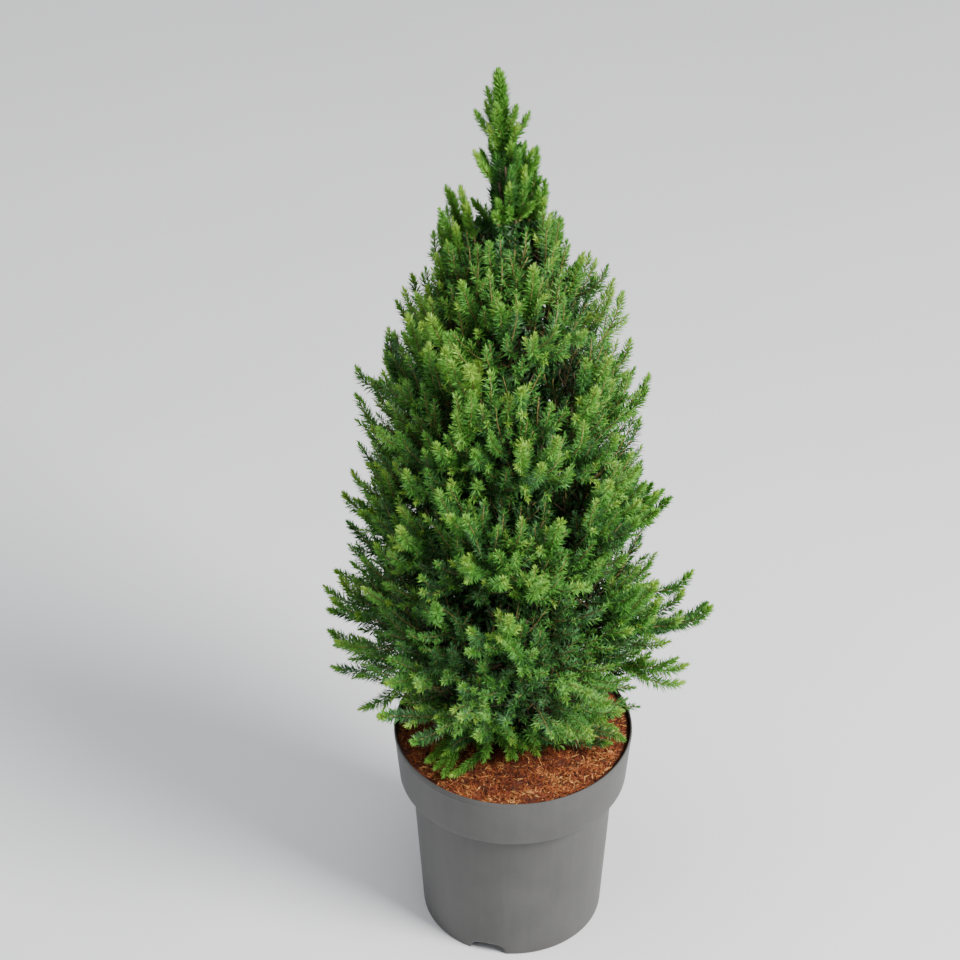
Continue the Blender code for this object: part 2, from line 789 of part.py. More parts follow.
def main():
    for old in list(bpy.data.objects):
        bpy.data.objects.remove(old)
    parts = bpy.data.collections.new("potted alberta spruce")
    cutters = bpy.data.collections.new("cutters")
    for collection in (parts, cutters):
        bpy.context.scene.collection.children.link(collection)
    materials = {
        "pot": surface("grey pot plastic", (0.205, 0.205, 0.205), 0.45),
        "mulch": surface("bark mulch", (0.22, 0.075, 0.028), 0.9),
        "bark": surface("spruce bark", (0.16, 0.10, 0.06), 0.85),
        "needles": surface("spruce needles", (0.07, 0.16, 0.035), 0.6),
    }
    pot(parts, cutters, materials["pot"])
    substrate(parts, materials["mulch"])

    trunk = trunk_limb()
    limb("trunk", trunk.centres, trunk.radii, 10, parts, materials["bark"])
    fat = limb("trunk_cutter", trunk.centres, trunk.radii + GAP, 10, cutters, materials["bark"])
    fat.hide_render = True
    fat.display_type = "WIRE"

    plans = []
    for level, tier in enumerate(TIERS):
        above = TIERS[level + 1] if level + 1 < len(TIERS) else None
        roof = above.floor if above else LEADER_FLOOR
        roof_slope = above.slope if above else LEADER_SLOPE
        for index in range(tier.masses):
            angle = math.radians(tier.turn) + FULL_TURN * index / tier.masses
            space = wedge(tier, roof, roof_slope, angle)
            bough = bough_limb(tier, angle, index % 3) if tier.bough_reach else None
            plans.append((tier, index, angle, space, bough))
    limbs = [trunk, *(plan[4] for plan in plans if plan[4])]

    for number, (tier, index, angle, space, bough) in enumerate(plans):
        random = np.random.default_rng(SEED + number)
        half = math.pi / tier.masses
        if bough:
            name = f"bough_{tier.name}_{index + 1}"
            piece = limb(name, bough.centres, bough.radii, 6, parts, materials["bark"])
            cut_by_trunk(piece, fat)
            direction = unit(bough.centres[-1] - bough.centres[-2])
            start = bough.centres[-1] + direction * GAP
            radius = BOUGH_TIP
        else:
            height = tier.floor + 0.030 + 0.014 * index
            direction = unit(outward(angle) + UP * tier.bough_rise)
            radius = TWIG_ROOT
            beside = trunk_radius(height) + radius * direction[2] + 2 * GAP
            start = trunk_centre(height) + outward(angle) * beside
        end = tip_in_space(space, STEM_RISE, 0.0, 1 - tier.stem_reach)
        stem = stem_limb(start, direction, end, radius)
        long_ones = [np.array(tip) for tip in LONG_SHOOTS if inside(np.array([tip]), space)]
        tips = long_ones + dealt_tips(space, half, round(SPARE_TIPS * tier.sprays), random)
        mass(
            f"needles_{tier.name}_{index + 1}",
            stem,
            space,
            half if bough else 0,
            wedge_core(space, half),
            tier.lift,
            tier.size,
            tips,
            tier.sprays + len(long_ones),
            limbs,
            parts,
            materials,
            random,
        )

    random = np.random.default_rng(SEED + len(plans))
    space = leader_space()
    direction = unit(trunk_centre(TRUNK_TIP) - trunk_centre(TRUNK_TIP - 0.01))
    start = trunk_centre(TRUNK_TIP) + direction * GAP
    stem = stem_limb(start, direction, trunk_centre(PLANT_HEIGHT - 0.02), TRUNK_TIP_RADIUS)
    tips = [trunk_centre(PLANT_HEIGHT), *dealt_tips(space, math.pi, LEADER_SPRAYS, random)]
    block = (trunk_centre(LEADER_CORE), np.array(LEADER_CORE_SIZE), np.identity(3), 0.0)
    mass(
        "needles_leader",
        stem,
        space,
        0,
        block,
        90,
        LEADER_SIZE,
        tips,
        LEADER_SPRAYS,
        limbs,
        parts,
        materials,
        random,
    )


main()
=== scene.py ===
# %% [markdown]
# # A potted dwarf alberta spruce
# A slow cone of a conifer, about a metre tall, in a grey nursery pot. This lesson dresses its plain solids.
# The pot gets moulded plastic, the mulch its fibres, and the trunk and boughs their bark. Every mass of
# foliage is grown again as twigs and needles. Everything is in metres, +Z up, and the front faces -Y.

# %% Load the frame
import math
from collections import namedtuple

import bpy
import numpy as np
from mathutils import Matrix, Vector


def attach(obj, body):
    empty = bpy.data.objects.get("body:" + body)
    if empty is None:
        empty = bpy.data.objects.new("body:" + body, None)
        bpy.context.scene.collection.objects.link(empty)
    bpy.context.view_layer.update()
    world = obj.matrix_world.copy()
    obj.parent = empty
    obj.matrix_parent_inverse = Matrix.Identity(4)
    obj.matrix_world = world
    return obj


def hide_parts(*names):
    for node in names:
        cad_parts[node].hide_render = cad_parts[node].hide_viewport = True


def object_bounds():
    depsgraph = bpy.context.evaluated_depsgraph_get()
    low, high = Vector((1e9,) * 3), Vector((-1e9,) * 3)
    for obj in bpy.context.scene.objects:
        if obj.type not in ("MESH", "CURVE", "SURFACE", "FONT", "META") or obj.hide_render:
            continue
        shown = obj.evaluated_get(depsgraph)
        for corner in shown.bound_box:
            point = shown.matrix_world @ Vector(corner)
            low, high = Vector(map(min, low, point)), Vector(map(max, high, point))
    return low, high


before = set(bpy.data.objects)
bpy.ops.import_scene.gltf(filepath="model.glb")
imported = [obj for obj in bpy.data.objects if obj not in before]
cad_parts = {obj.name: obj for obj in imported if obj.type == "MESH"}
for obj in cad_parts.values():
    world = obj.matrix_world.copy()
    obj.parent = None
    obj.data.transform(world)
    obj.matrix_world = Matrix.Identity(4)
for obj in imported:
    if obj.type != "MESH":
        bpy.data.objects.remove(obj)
CAD_BOX = [list(corner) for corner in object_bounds()]
NODES = sorted(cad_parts)
MASSES = [name for name in NODES if name.startswith("needles_")]
BOUGHS = [name for name in NODES if name.startswith("bough_")]
print(len(NODES), "solids,", len(MASSES), "of them masses of foliage")

# %% [markdown]
# ## Small helpers
# Colours are written as sRGB hex, the way a colour chart gives them, and Blender wants linear values, so one
# function turns them. Another adds a shader node with its settings and links in one line. Patterns are
# measured in Object coordinates, so their sizes are real ones.

# %% Colours, nodes and materials


def linear(code):
    """sRGB hex to linear RGBA: c / 12.92 up to 0.04045, and ((c + 0.055) / 1.055) ** 2.4 above it."""
    channels = np.array([int(code[start : start + 2], 16) / 255 for start in (1, 3, 5)])
    curved = np.where(channels <= 0.04045, channels / 12.92, ((channels + 0.055) / 1.055) ** 2.4)
    return (*curved.tolist(), 1.0)


def node(tree, kind, settings, links=None):
    """Adds a node. Settings are inputs' values or its own properties, and stops are a ramp's colours."""
    made = tree.nodes.new(kind)
    for key, value in settings.items():
        if key == "stops":
            for index, (place, colour) in enumerate(value):
                stop = made.color_ramp.elements[index] if index < 2 else made.color_ramp.elements.new(place)
                stop.position = place
                stop.color = linear(colour)
        elif isinstance(key, int) or key in made.inputs:
            made.inputs[key].default_value = value
        else:
            setattr(made, key, value)
    for key, socket in (links or {}).items():
        tree.links.new(socket, made.inputs[key])
    return made


def new_material(name):
    """An empty material, its tree and its Principled shader."""
    material = bpy.data.materials.new(name)
    material.use_nodes = True
    return material, material.node_tree, material.node_tree.nodes["Principled BSDF"]


def per_mm(size):
    """The scale of a pattern whose features are this many millimetres apart, in Object coordinates."""
    return 1000.0 / size


def grained(name, stops, grain_mm, detail, roughness, relief=0.0):
    """A dull material coloured by noise of this size through a ramp, with a bump where it has relief."""
    material, tree, shader = new_material(name)
    place = node(tree, "ShaderNodeTexCoord", {}).outputs["Object"]
    noise = node(tree, "ShaderNodeTexNoise", {"Scale": per_mm(grain_mm), "Detail": detail}, {"Vector": place})
    tint = node(tree, "ShaderNodeValToRGB", {"stops": stops}, {"Fac": noise.outputs["Fac"]})
    tree.links.new(tint.outputs["Color"], shader.inputs["Base Color"])
    if relief:
        depth = {"Strength": relief, "Distance": 0.0003}
        bump = node(tree, "ShaderNodeBump", depth, {"Height": noise.outputs["Fac"]})
        tree.links.new(bump.outputs["Normal"], shader.inputs["Normal"])
    shader.inputs["Roughness"].default_value = roughness
    return material


print("a pattern of 2 mm has a scale of", per_mm(2))

# %% [markdown]
# Arrays of points and faces go into a mesh with `foreach_set`, which takes a whole array at once. Faces have
# to look outwards, and the volume that they enclose tells: it is below zero when they look in.

# %% Meshes


def signed_volume(points, faces):
    """Six times the volume, from each face's triangles with the origin. Below zero, the faces look in."""
    first, second, third = points[faces[:, 0]], points[faces[:, 1]], points[faces[:, 2]]
    volume = (first * np.cross(second, third)).sum()
    if faces.shape[1] == 4:
        volume += (first * np.cross(third, points[faces[:, 3]])).sum()
    return volume


def new_piece(name, points, groups, material, smooth=True):
    """A mesh object from one array of points and arrays of triangles or quads, turned to look outwards."""
    if sum(signed_volume(points, faces) for faces in groups) < 0:
        groups = [faces[:, ::-1] for faces in groups]
    mesh = bpy.data.meshes.new(name)
    mesh.vertices.add(len(points))
    mesh.vertices.foreach_set("co", np.ascontiguousarray(points, np.float32).ravel())
    corners = np.concatenate([faces.ravel() for faces in groups])
    sizes = np.concatenate([np.full(len(faces), faces.shape[1]) for faces in groups])
    mesh.loops.add(len(corners))
    mesh.loops.foreach_set("vertex_index", corners.astype(np.int32))
    mesh.polygons.add(len(sizes))
    mesh.polygons.foreach_set("loop_start", (np.cumsum(sizes) - sizes).astype(np.int32))
    mesh.polygons.foreach_set("use_smooth", np.full(len(sizes), smooth))
    mesh.update(calc_edges=True)
    mesh.materials.append(material)
    piece = bpy.data.objects.new(name, mesh)
    bpy.context.scene.collection.objects.link(piece)
    print(f"{name}: {(sizes - 2).sum()} triangles")
    return piece


print("six times the volume of a unit corner:", signed_volume(np.eye(3), np.array([(0, 1, 2)])))

# %% [markdown]
# ## Noise and grids in numpy
# Bark, mulch and pockets in the crown are all uneven in the same way: smoothly, at a certain size. Value
# noise gives that. Every point falls in a cell of a lattice, the cell's eight corners have fixed random
# values, and the point gets their blend. A tube or a turned shape is a grid of rows and columns.

# %% Value noise and grid faces


def value_noise(points, size, seed):
    """Blends random values at the corners of cells of this size, by 3t^2 - 2t^3 along each axis."""
    cells = points / size
    low = np.floor(cells)
    share = cells - low
    share = share * share * (3 - 2 * share)
    total = np.zeros(len(points))
    for corner in np.ndindex(2, 2, 2):
        phase = np.sin((low + corner) @ (12.9898, 78.233, 37.719) + seed) * 43758.5453
        weight = np.where(np.array(corner) == 1, share, 1 - share).prod(axis=1)
        total += (phase - np.floor(phase)) * weight
    return total


def ring_faces(rows, columns):
    """Quads between neighbouring rows of a grid whose last column joins its first."""
    row, column = np.meshgrid(np.arange(rows - 1), np.arange(columns), indexing="ij")
    beside = (column + 1) % columns
    this, above = row * columns, (row + 1) * columns
    return np.stack((this + column, this + beside, above + beside, above + column), axis=-1).reshape(-1, 4)


def fan_faces(ring, centre, columns, flip):
    """Triangles from one ring to a centre point, which closes a pole."""
    column = np.arange(columns)
    beside = (column + 1) % columns
    order = (beside, column) if flip else (column, beside)
    return np.stack((ring + order[0], ring + order[1], np.full(columns, centre)), axis=-1)


def turned(radii, heights, angles):
    """A grid (rows, columns, 3) of a profile turned round the axis: (r cos a, r sin a, z)."""
    across = np.outer(radii, np.cos(angles))
    return np.stack((across, np.outer(radii, np.sin(angles)), heights + 0 * across), axis=-1)


def closed_grid(grid, first_pole, last_pole):
    """Points and faces of a ringed grid (rows, columns, 3) whose two ends are closed to poles."""
    rows, columns = grid.shape[:2]
    points = np.vstack((grid.reshape(-1, 3), first_pole, last_pole))
    poles = rows * columns
    ends = [fan_faces(0, poles, columns, True), fan_faces((rows - 1) * columns, poles + 1, columns, False)]
    return points, [ring_faces(rows, columns), np.vstack(ends)]


print("noise at the origin:", round(float(value_noise(np.zeros((1, 3)), 0.01, 1)[0]), 3))

# %% [markdown]
# ## Camera
# The plant stands on the floor and the camera looks down on it, 37 degrees below level, from three and a half
# metres away through a long lens. A long lens keeps the cone's sides nearly straight.

# %% Camera
LENS_MM = 126.3
SENSOR_MM = 36
CAMERA_PLACE = (-0.0351, -2.698, 2.598)
FROM_STRAIGHT_DOWN = math.radians(53.05)

camera_data = bpy.data.cameras.new("camera")
camera_data.sensor_width = SENSOR_MM
camera_data.lens = LENS_MM
camera = bpy.data.objects.new("camera", camera_data)
camera.location = CAMERA_PLACE
camera.rotation_euler = (FROM_STRAIGHT_DOWN, 0, 0)
bpy.context.scene.collection.objects.link(camera)
bpy.context.scene.camera = camera
print("camera", tuple(round(value, 3) for value in camera.location))

# %% [markdown]
# ## Floor, light and air
# A plain pale floor, one large soft light high on the right, and a weaker one overhead. The sky is an even
# pale blue-white, and it fills the shade between the needles.

# %% Floor
FLOOR_HALF = 6.0
FLOOR_CELLS = 8
UNDER_THE_POT = -0.0005

pale_floor = grained("pale studio floor", [(0.3, "#E9EAEE"), (0.7, "#EEEFF2")], 600, 2.0, 0.7)
side = np.linspace(-FLOOR_HALF, FLOOR_HALF, FLOOR_CELLS + 1)
across, along = np.meshgrid(side, side, indexing="ij")
floor_points = np.stack((across, along, np.full_like(across, UNDER_THE_POT)), axis=-1).reshape(-1, 3)
row, column = np.meshgrid(np.arange(FLOOR_CELLS), np.arange(FLOOR_CELLS), indexing="ij")
near = row * (FLOOR_CELLS + 1) + column
far = near + FLOOR_CELLS + 1
floor_faces = np.stack((near, far, far + 1, near + 1), axis=-1).reshape(-1, 4)
floor = new_piece("studio_floor", floor_points, [floor_faces], pale_floor)

# %% Lights
PLANT_MIDDLE = (0, 0, 0.5)
SKY_STRENGTH = 0.48


def soft_light(name, place, size, power, colour):
    """A square area light that looks at the plant's middle."""
    data = bpy.data.lights.new(name, "AREA")
    data.size = size
    data.energy = power
    data.color = linear(colour)[:3]
    light = bpy.data.objects.new(name, data)
    back = np.array(place, float) - np.array(PLANT_MIDDLE, float)
    turn = math.atan2(back[0], -back[1])
    tilt = math.atan2(math.hypot(back[0], back[1]), back[2])
    light.location = place
    light.rotation_euler = (tilt, 0, turn)
    bpy.context.scene.collection.objects.link(light)


soft_light("key", (2.3, -1.5, 2.9), 1.5, 300, "#FFFDF8")
soft_light("fill", (-0.6, -0.4, 3.9), 1.8, 62, "#FCFDFF")

world = bpy.data.worlds.new("pale air")
world.use_nodes = True
sky = world.node_tree.nodes["Background"]
sky.inputs["Color"].default_value = linear("#F2F3F6")
sky.inputs["Strength"].default_value = SKY_STRENGTH
bpy.context.scene.world = world
print("two lights and an even sky")

# %% [markdown]
# ## The pot
# A nursery pot is injection moulded in polypropylene: a thin wall, a tall collar with a rolled lip, and a
# skirt with notches at its foot. It is a turned shape: one profile goes round the axis. Every corner of the
# profile is rounded first, because no moulded edge is sharp and the rounding is what catches the light.

# %% Pot sizes and profile
POT_HEIGHT = 0.2445
RIM_RADIUS = 0.1265
COLLAR_RADIUS = 0.1210
COLLAR_FOOT = 0.1840
LEDGE_RADIUS = 0.1080
BASE_RADIUS = 0.0968
WALL = 0.0022
SKIRT = 0.0150
CENTRE_FOOT = 0.0305
NOTCHES = 3
NOTCH_WIDTH = 0.038
NOTCH_HEIGHT = 0.0125
ARCH_POWER = 2.6
FIRST_NOTCH = math.radians(-106)
POT_COLUMNS = 360

# Each corner: radius, height, and how far its rounding starts from it.
POT_CORNERS = (
    (CENTRE_FOOT - WALL, WALL, 0.0015),
    (CENTRE_FOOT + WALL, SKIRT + WALL, 0.0015),
    (BASE_RADIUS - WALL + 0.001, SKIRT + WALL, 0.0030),
    (LEDGE_RADIUS - WALL, COLLAR_FOOT, 0.0020),
    (COLLAR_RADIUS - WALL, COLLAR_FOOT + WALL, 0.0020),
    (RIM_RADIUS - WALL, POT_HEIGHT - 0.0006, 0.0006),
    (RIM_RADIUS - WALL + 0.0006, POT_HEIGHT, 0.0004),
    (RIM_RADIUS - 0.0005, POT_HEIGHT, 0.0005),
    (RIM_RADIUS, POT_HEIGHT - 0.0045, 0.0012),
    (RIM_RADIUS - 0.0006, POT_HEIGHT - 0.0065, 0.0009),
    (COLLAR_RADIUS, COLLAR_FOOT, 0.0011),
    (LEDGE_RADIUS, COLLAR_FOOT - 0.0024, 0.0028),
    (BASE_RADIUS, 0.0012, 0.0010),
    (BASE_RADIUS - 0.0009, 0.0, 0.0005),
    (BASE_RADIUS - 0.0009 - WALL, 0.0, 0.0003),
    (BASE_RADIUS - WALL - 0.0009, SKIRT, 0.0012),
    (CENTRE_FOOT + 2 * WALL, SKIRT, 0.0015),
    (CENTRE_FOOT, 0.0, 0.0005),
)


def rounded(corners, steps):
    """Each corner becomes (1-t)^2 before + 2t(1-t) corner + t^2 after, between points on its two sides."""
    places = np.array([corner[:2] for corner in corners])
    cut = np.array([corner[2] for corner in corners])[:, None]
    to_last = np.roll(places, 1, axis=0) - places
    to_next = np.roll(places, -1, axis=0) - places
    to_last[0], to_next[-1] = (-1, 0), (-1, 0)
    before = places + to_last / np.linalg.norm(to_last, axis=1, keepdims=True) * cut
    after = places + to_next / np.linalg.norm(to_next, axis=1, keepdims=True) * cut
    share = np.linspace(0, 1, steps)[None, :, None]
    ends = (1 - share) ** 2 * before[:, None], share**2 * after[:, None]
    return (ends[0] + 2 * share * (1 - share) * places[:, None] + ends[1]).reshape(-1, 2)


def finer(profile, longest):
    """Adds evenly spaced points to every stretch of a profile that is longer than this."""
    lengths = np.linalg.norm(np.diff(profile, axis=0), axis=1)
    counts = np.maximum(1, np.ceil(lengths / longest)).astype(int)
    stretch = np.repeat(np.arange(len(counts)), counts)
    share = (np.arange(len(stretch)) - np.repeat(np.cumsum(counts) - counts, counts)) / counts[stretch]
    made = profile[stretch] + share[:, None] * (profile[stretch + 1] - profile[stretch])
    return np.vstack((made, profile[-1]))


pot_profile = finer(rounded(POT_CORNERS, 4), 0.006)
print(len(pot_profile), "points in the pot's profile")

# %% [markdown]
# The notches are not cut. Below the height of a notch, the skirt's points are squeezed upwards between the
# notch's arch and the raised floor, so the wall stays one closed grid and the arch's edge is clean. The
# arch is a superellipse: upright at its sides, and a little flatter on top than a true ellipse.

# %% Turn the pot


def notch_arch(angle):
    """Height of the arch over each angle: H * (1 - |s|^n)^(1/n), with s = 1 at the notch's sides."""
    step = 2 * math.pi / NOTCHES
    away = (angle - FIRST_NOTCH + step / 2) % step - step / 2
    share = np.clip(np.abs(away) * BASE_RADIUS / (NOTCH_WIDTH / 2), 0, 1)
    return NOTCH_HEIGHT * (1 - share**ARCH_POWER) ** (1 / ARCH_POWER)


SKIRT_TOP = SKIRT - 0.0015
SKIRT_INSIDE = BASE_RADIUS - 0.006

angles = np.linspace(0, 2 * math.pi, POT_COLUMNS, endpoint=False)
radius, height = pot_profile[:, :1], pot_profile[:, 1:] + 0 * angles
outside = np.arange(len(radius))[:, None] > len(radius) // 3
in_skirt = (radius > SKIRT_INSIDE) & (height < SKIRT_TOP) & outside
squeezed = notch_arch(angles) + height * (SKIRT_TOP - notch_arch(angles)) / SKIRT_TOP
pot_grid = turned(radius, np.where(in_skirt, squeezed, height), angles)
pot_points, pot_faces = closed_grid(pot_grid, (0, 0, WALL), (0, 0, 0))
print(int(in_skirt.any(axis=1).sum()), "rings of the skirt follow", NOTCHES, "notches")

# %% [markdown]
# Polypropylene straight from the mould is satin, because the mould's steel is lightly blasted. Its grey is
# even, with a film of dust, soft upright streaks where water has run down, and small scuffs.

# %% Moulded polypropylene
pot_plastic, tree, shader = new_material("moulded grey polypropylene")
place = node(tree, "ShaderNodeTexCoord", {}).outputs["Object"]
cloudy = {"Scale": per_mm(55), "Detail": 4.0, "Roughness": 0.55}
dust = node(tree, "ShaderNodeTexNoise", cloudy, {"Vector": place}).outputs["Fac"]
runs = node(tree, "ShaderNodeMapping", {"Scale": (1.0, 1.0, 0.05)}, {"Vector": place}).outputs["Vector"]
streaky, speckled = {"Scale": per_mm(7), "Detail": 3.0}, {"Scale": per_mm(2.2), "Detail": 2.0}
streak = node(tree, "ShaderNodeTexNoise", streaky, {"Vector": runs}).outputs["Fac"]
speck = node(tree, "ShaderNodeTexNoise", speckled, {"Vector": place}).outputs["Fac"]
added = node(tree, "ShaderNodeMath", {"operation": "MULTIPLY_ADD", 1: 0.35}, {0: streak, 2: dust})
stops = [(0.40, "#4B4B4A"), (0.95, "#585857"), (0.66, "#515150")]
grey = node(tree, "ShaderNodeValToRGB", {"stops": stops}, {"Fac": added.outputs["Value"]})
stops = [(0.66, "#000000"), (0.78, "#2A2A2A")]
scuff = node(tree, "ShaderNodeValToRGB", {"stops": stops}, {"Fac": speck})
adding = {"data_type": "RGBA", "blend_type": "ADD", 0: 0.5}
mixed = node(tree, "ShaderNodeMix", adding, {6: grey.outputs["Color"], 7: scuff.outputs["Color"]})
tree.links.new(mixed.outputs[2], shader.inputs["Base Color"])
dusty = {"From Min": 0.3, "From Max": 0.7, "To Min": 0.40, "To Max": 0.54}
gloss = node(tree, "ShaderNodeMapRange", dusty, {"Value": dust})
tree.links.new(gloss.outputs["Result"], shader.inputs["Roughness"])
# Blasted steel leaves a grain of about 0.4 mm, drawn at 0.9 mm so that it still shows a metre away.
grain = node(tree, "ShaderNodeTexNoise", {"Scale": per_mm(0.9), "Detail": 2.0}, {"Vector": place})
bump = node(tree, "ShaderNodeBump", {"Strength": 0.22, "Distance": 0.0002}, {"Height": grain.outputs["Fac"]})
tree.links.new(bump.outputs["Normal"], shader.inputs["Normal"])
shader.inputs["IOR"].default_value = 1.49
shader.inputs["Specular IOR Level"].default_value = 0.2
pot = new_piece("grey_pot", pot_points, pot_faces, pot_plastic)
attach(pot, "root")
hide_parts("pot")

# %% [markdown]
# ## Bark mulch
# Shredded bark lies over the substrate, nearly level with the lip. It is a bed with lumps, closed down the
# inside of the pot, and thousands of loose fibres and chips on it. Each fibre is a sliver of four faces.

# %% The bed
MULCH_HEIGHT = 0.2375
BED_COLUMNS = 300
BED_RINGS = 62
SLACK = 0.0008
COLLAR_SLOPE = (RIM_RADIUS - COLLAR_RADIUS) / (POT_HEIGHT - COLLAR_FOOT)


def bed_height(points):
    """The mulch's height, uneven by lumps of 11 mm, 3 mm high, and of 4 mm, 1.6 mm high."""
    flat = points * (1, 1, 0)
    lumps = 0.0030 * (value_noise(flat, 0.011, 3) - 0.5) + 0.0016 * (value_noise(flat, 0.004, 5) - 0.5)
    return MULCH_HEIGHT + lumps


angles = np.linspace(0, 2 * math.pi, BED_COLUMNS, endpoint=False)
bed_edge = COLLAR_RADIUS - WALL - SLACK / 2 + (MULCH_HEIGHT - COLLAR_FOOT) * COLLAR_SLOPE
top_grid = turned(np.linspace(0.002, bed_edge, BED_RINGS), 0, angles)
top_grid[..., 2] = bed_height(top_grid.reshape(-1, 3)).reshape(BED_RINGS, BED_COLUMNS)
inside = np.array(
    [
        (COLLAR_RADIUS - WALL - 0.0006, COLLAR_FOOT + WALL + 0.001),
        (LEDGE_RADIUS - WALL - 0.0006, COLLAR_FOOT + 0.001),
        (BASE_RADIUS - WALL, SKIRT + WALL + SLACK),
        (CENTRE_FOOT + WALL, SKIRT + WALL + SLACK),
        (CENTRE_FOOT - WALL - 0.001, WALL + SLACK),
    ]
)
bed_grid = np.vstack((top_grid, turned(inside[:, 0], inside[:, 1:], angles)))
bed_points, bed_faces = closed_grid(bed_grid, (0, 0, MULCH_HEIGHT), (0, 0, WALL + SLACK))
print("the bed's edge is", round((POT_HEIGHT - MULCH_HEIGHT) * 1000, 1), "mm below the lip")

# %% [markdown]
# Shredded pine bark is red-brown and dull, and tan where a fibre has split. The bed under the fibres runs
# from nearly black to mid brown by noise: partly the bark's own colour and partly painted shade of the gaps
# between the fibres.

# %% Shredded bark, as a bed
bark_bed, tree, shader = new_material("shredded bark with painted gap shade")
place = node(tree, "ShaderNodeTexCoord", {}).outputs["Object"]
shreds = {"Scale": per_mm(9), "Detail": 5.0, "Roughness": 0.65}
bark_and_gap_shade = node(tree, "ShaderNodeTexNoise", shreds, {"Vector": place})
# The near-black end of this ramp is painted shade of the gaps between the fibres, and the rest is the bark's
# own red-brown.
stops = [(0.30, "#2E150B"), (0.75, "#8A4526"), (0.52, "#5A2A16")]
brown = node(tree, "ShaderNodeValToRGB", {"stops": stops}, {"Fac": bark_and_gap_shade.outputs["Fac"]})
tree.links.new(brown.outputs["Color"], shader.inputs["Base Color"])
shader.inputs["Roughness"].default_value = 0.85
fine = node(tree, "ShaderNodeTexNoise", {"Scale": per_mm(1.5), "Detail": 3.0}, {"Vector": place})
bump = node(tree, "ShaderNodeBump", {"Strength": 0.8, "Distance": 0.0012}, {"Height": fine.outputs["Fac"]})
tree.links.new(bump.outputs["Normal"], shader.inputs["Normal"])
bed = new_piece("mulch_bed", bed_points, bed_faces, bark_bed)
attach(bed, "root")
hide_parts("bark_mulch")

# %% [markdown]
# ## Slivers
# A fibre and a needle have the same simple form: a root, a tip, and two points beside the middle. Four
# triangles join them into a closed blade that is widest in the middle, with a shallow fold along it.

# %% A sliver of four faces
SLIVER_FACES = np.array([(0, 2, 1), (3, 1, 2), (0, 1, 3), (0, 3, 2)])


def unit(vectors):
    """Each vector divided by its length."""
    return vectors / np.linalg.norm(vectors, axis=-1, keepdims=True)


def slivers(roots, tips, wides, widths):
    """Points (n, 4, 3): root, middle + wide w/2, middle - wide w/2, tip. The middles are lifted 0.4 w."""
    run = tips - roots
    fold = unit(np.cross(run, wides)) * (0.4 * widths)[:, None]
    middle = roots + 0.48 * run + fold
    half = wides * (widths / 2)[:, None]
    return np.stack((roots, middle + half, middle - half, tips), axis=1)


def sliver_mesh(points):
    """Flat arrays of points and faces for many slivers."""
    count = len(points)
    faces = SLIVER_FACES[None] + 4 * np.arange(count)[:, None, None]
    return points.reshape(-1, 3), [faces.reshape(-1, 3)]


print("a sliver has", len(SLIVER_FACES), "faces")

# %% [markdown]
# Fibres lie every way, most of them almost flat. Their lengths follow a log-normal rule: many short ones
# and a few of 2 cm. They are dealt to four plain browns, and only a few are tan.

# %% Fibres on the bed
FIBRES = 21000
FIBRE_REACH = 0.1185
FIBRE_LENGTH, SHORTEST, LONGEST = 0.0070, 0.0025, 0.024
FIBRE_WIDTH, NARROWEST, WIDEST = 0.0015, 0.0006, 0.0036
FIBRE_KINDS = (
    ("dark_fibres", ("#3D180A", "#572410"), 0.30),
    ("red_fibres", ("#692A0F", "#823A16"), 0.40),
    ("brown_fibres", ("#8C481C", "#A25B28"), 0.20),
    ("tan_fibres", ("#B2773E", "#CE9A5E"), 0.10),
)
random = np.random.default_rng(7)

spot = np.sqrt(random.random(FIBRES)) * FIBRE_REACH
turn = random.random(FIBRES) * 2 * math.pi
middle = np.stack((spot * np.cos(turn), spot * np.sin(turn), np.zeros(FIBRES)), axis=1)
way = random.random(FIBRES) * 2 * math.pi
tilt = random.normal(0, 0.22, FIBRES)
run = np.stack((np.cos(tilt) * np.cos(way), np.cos(tilt) * np.sin(way), np.sin(tilt)), axis=1)
length = np.clip(random.lognormal(math.log(FIBRE_LENGTH), 0.55, FIBRES), SHORTEST, LONGEST)
width = np.clip(random.lognormal(math.log(FIBRE_WIDTH), 0.40, FIBRES), NARROWEST, WIDEST)
middle[:, 2] = bed_height(middle) + 0.0006 + 0.0008 * random.random(FIBRES)
roots, tips = middle - run * length[:, None] / 2, middle + run * length[:, None] / 2
wides = unit(np.cross(run, random.normal(0, 0.5, (FIBRES, 3)) + (0, 0, 1)))
ends = np.maximum(np.hypot(roots[:, 0], roots[:, 1]), np.hypot(tips[:, 0], tips[:, 1]))
kept = (ends < bed_edge - 0.0015) & (np.minimum(roots[:, 2], tips[:, 2]) > MULCH_HEIGHT - 0.003)
fibres = slivers(roots, tips, wides, width)[kept]
print(len(fibres), "fibres lie on the bed")

# %% [markdown]
# Patches of the bed are darker or lighter, so a fibre's kind comes half from noise over 14 mm and half from
# chance. Sorting by it gives every kind its share.

# %% Fibres by colour
patch = 0.9 * (value_noise(middle[kept], 0.014, 31) - 0.5) + random.normal(0, 0.45, kept.sum())
kinds = np.digitize(patch, np.quantile(patch, np.cumsum([kind[2] for kind in FIBRE_KINDS])[:-1]))
for index, (name, (dark, pale), _) in enumerate(FIBRE_KINDS):
    split_bark = grained("split bark, " + name, [(0.35, dark), (0.65, pale)], 4, 2.0, 0.8)
    piece = new_piece(name, *sliver_mesh(fibres[kinds == index]), split_bark, smooth=False)
    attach(piece, "root")

# %% [markdown]
# ## Trunk and boughs
# The trunk is one tapering stem with a root flare, a slight bow and a tip that leans left.

# %% Where the trunk runs
PLANT_HEIGHT = 1.04
TRUNK_TIP = 0.962
TRUNK_RADIUS = 0.0112
TRUNK_TIP_RADIUS = 0.0020
FLARE = 0.0060
FLARE_HEIGHT = 0.0180
TRUNK_OFFSET = -0.0040
TRUNK_LEAN = -0.0143
TRUNK_BOW = 0.0030


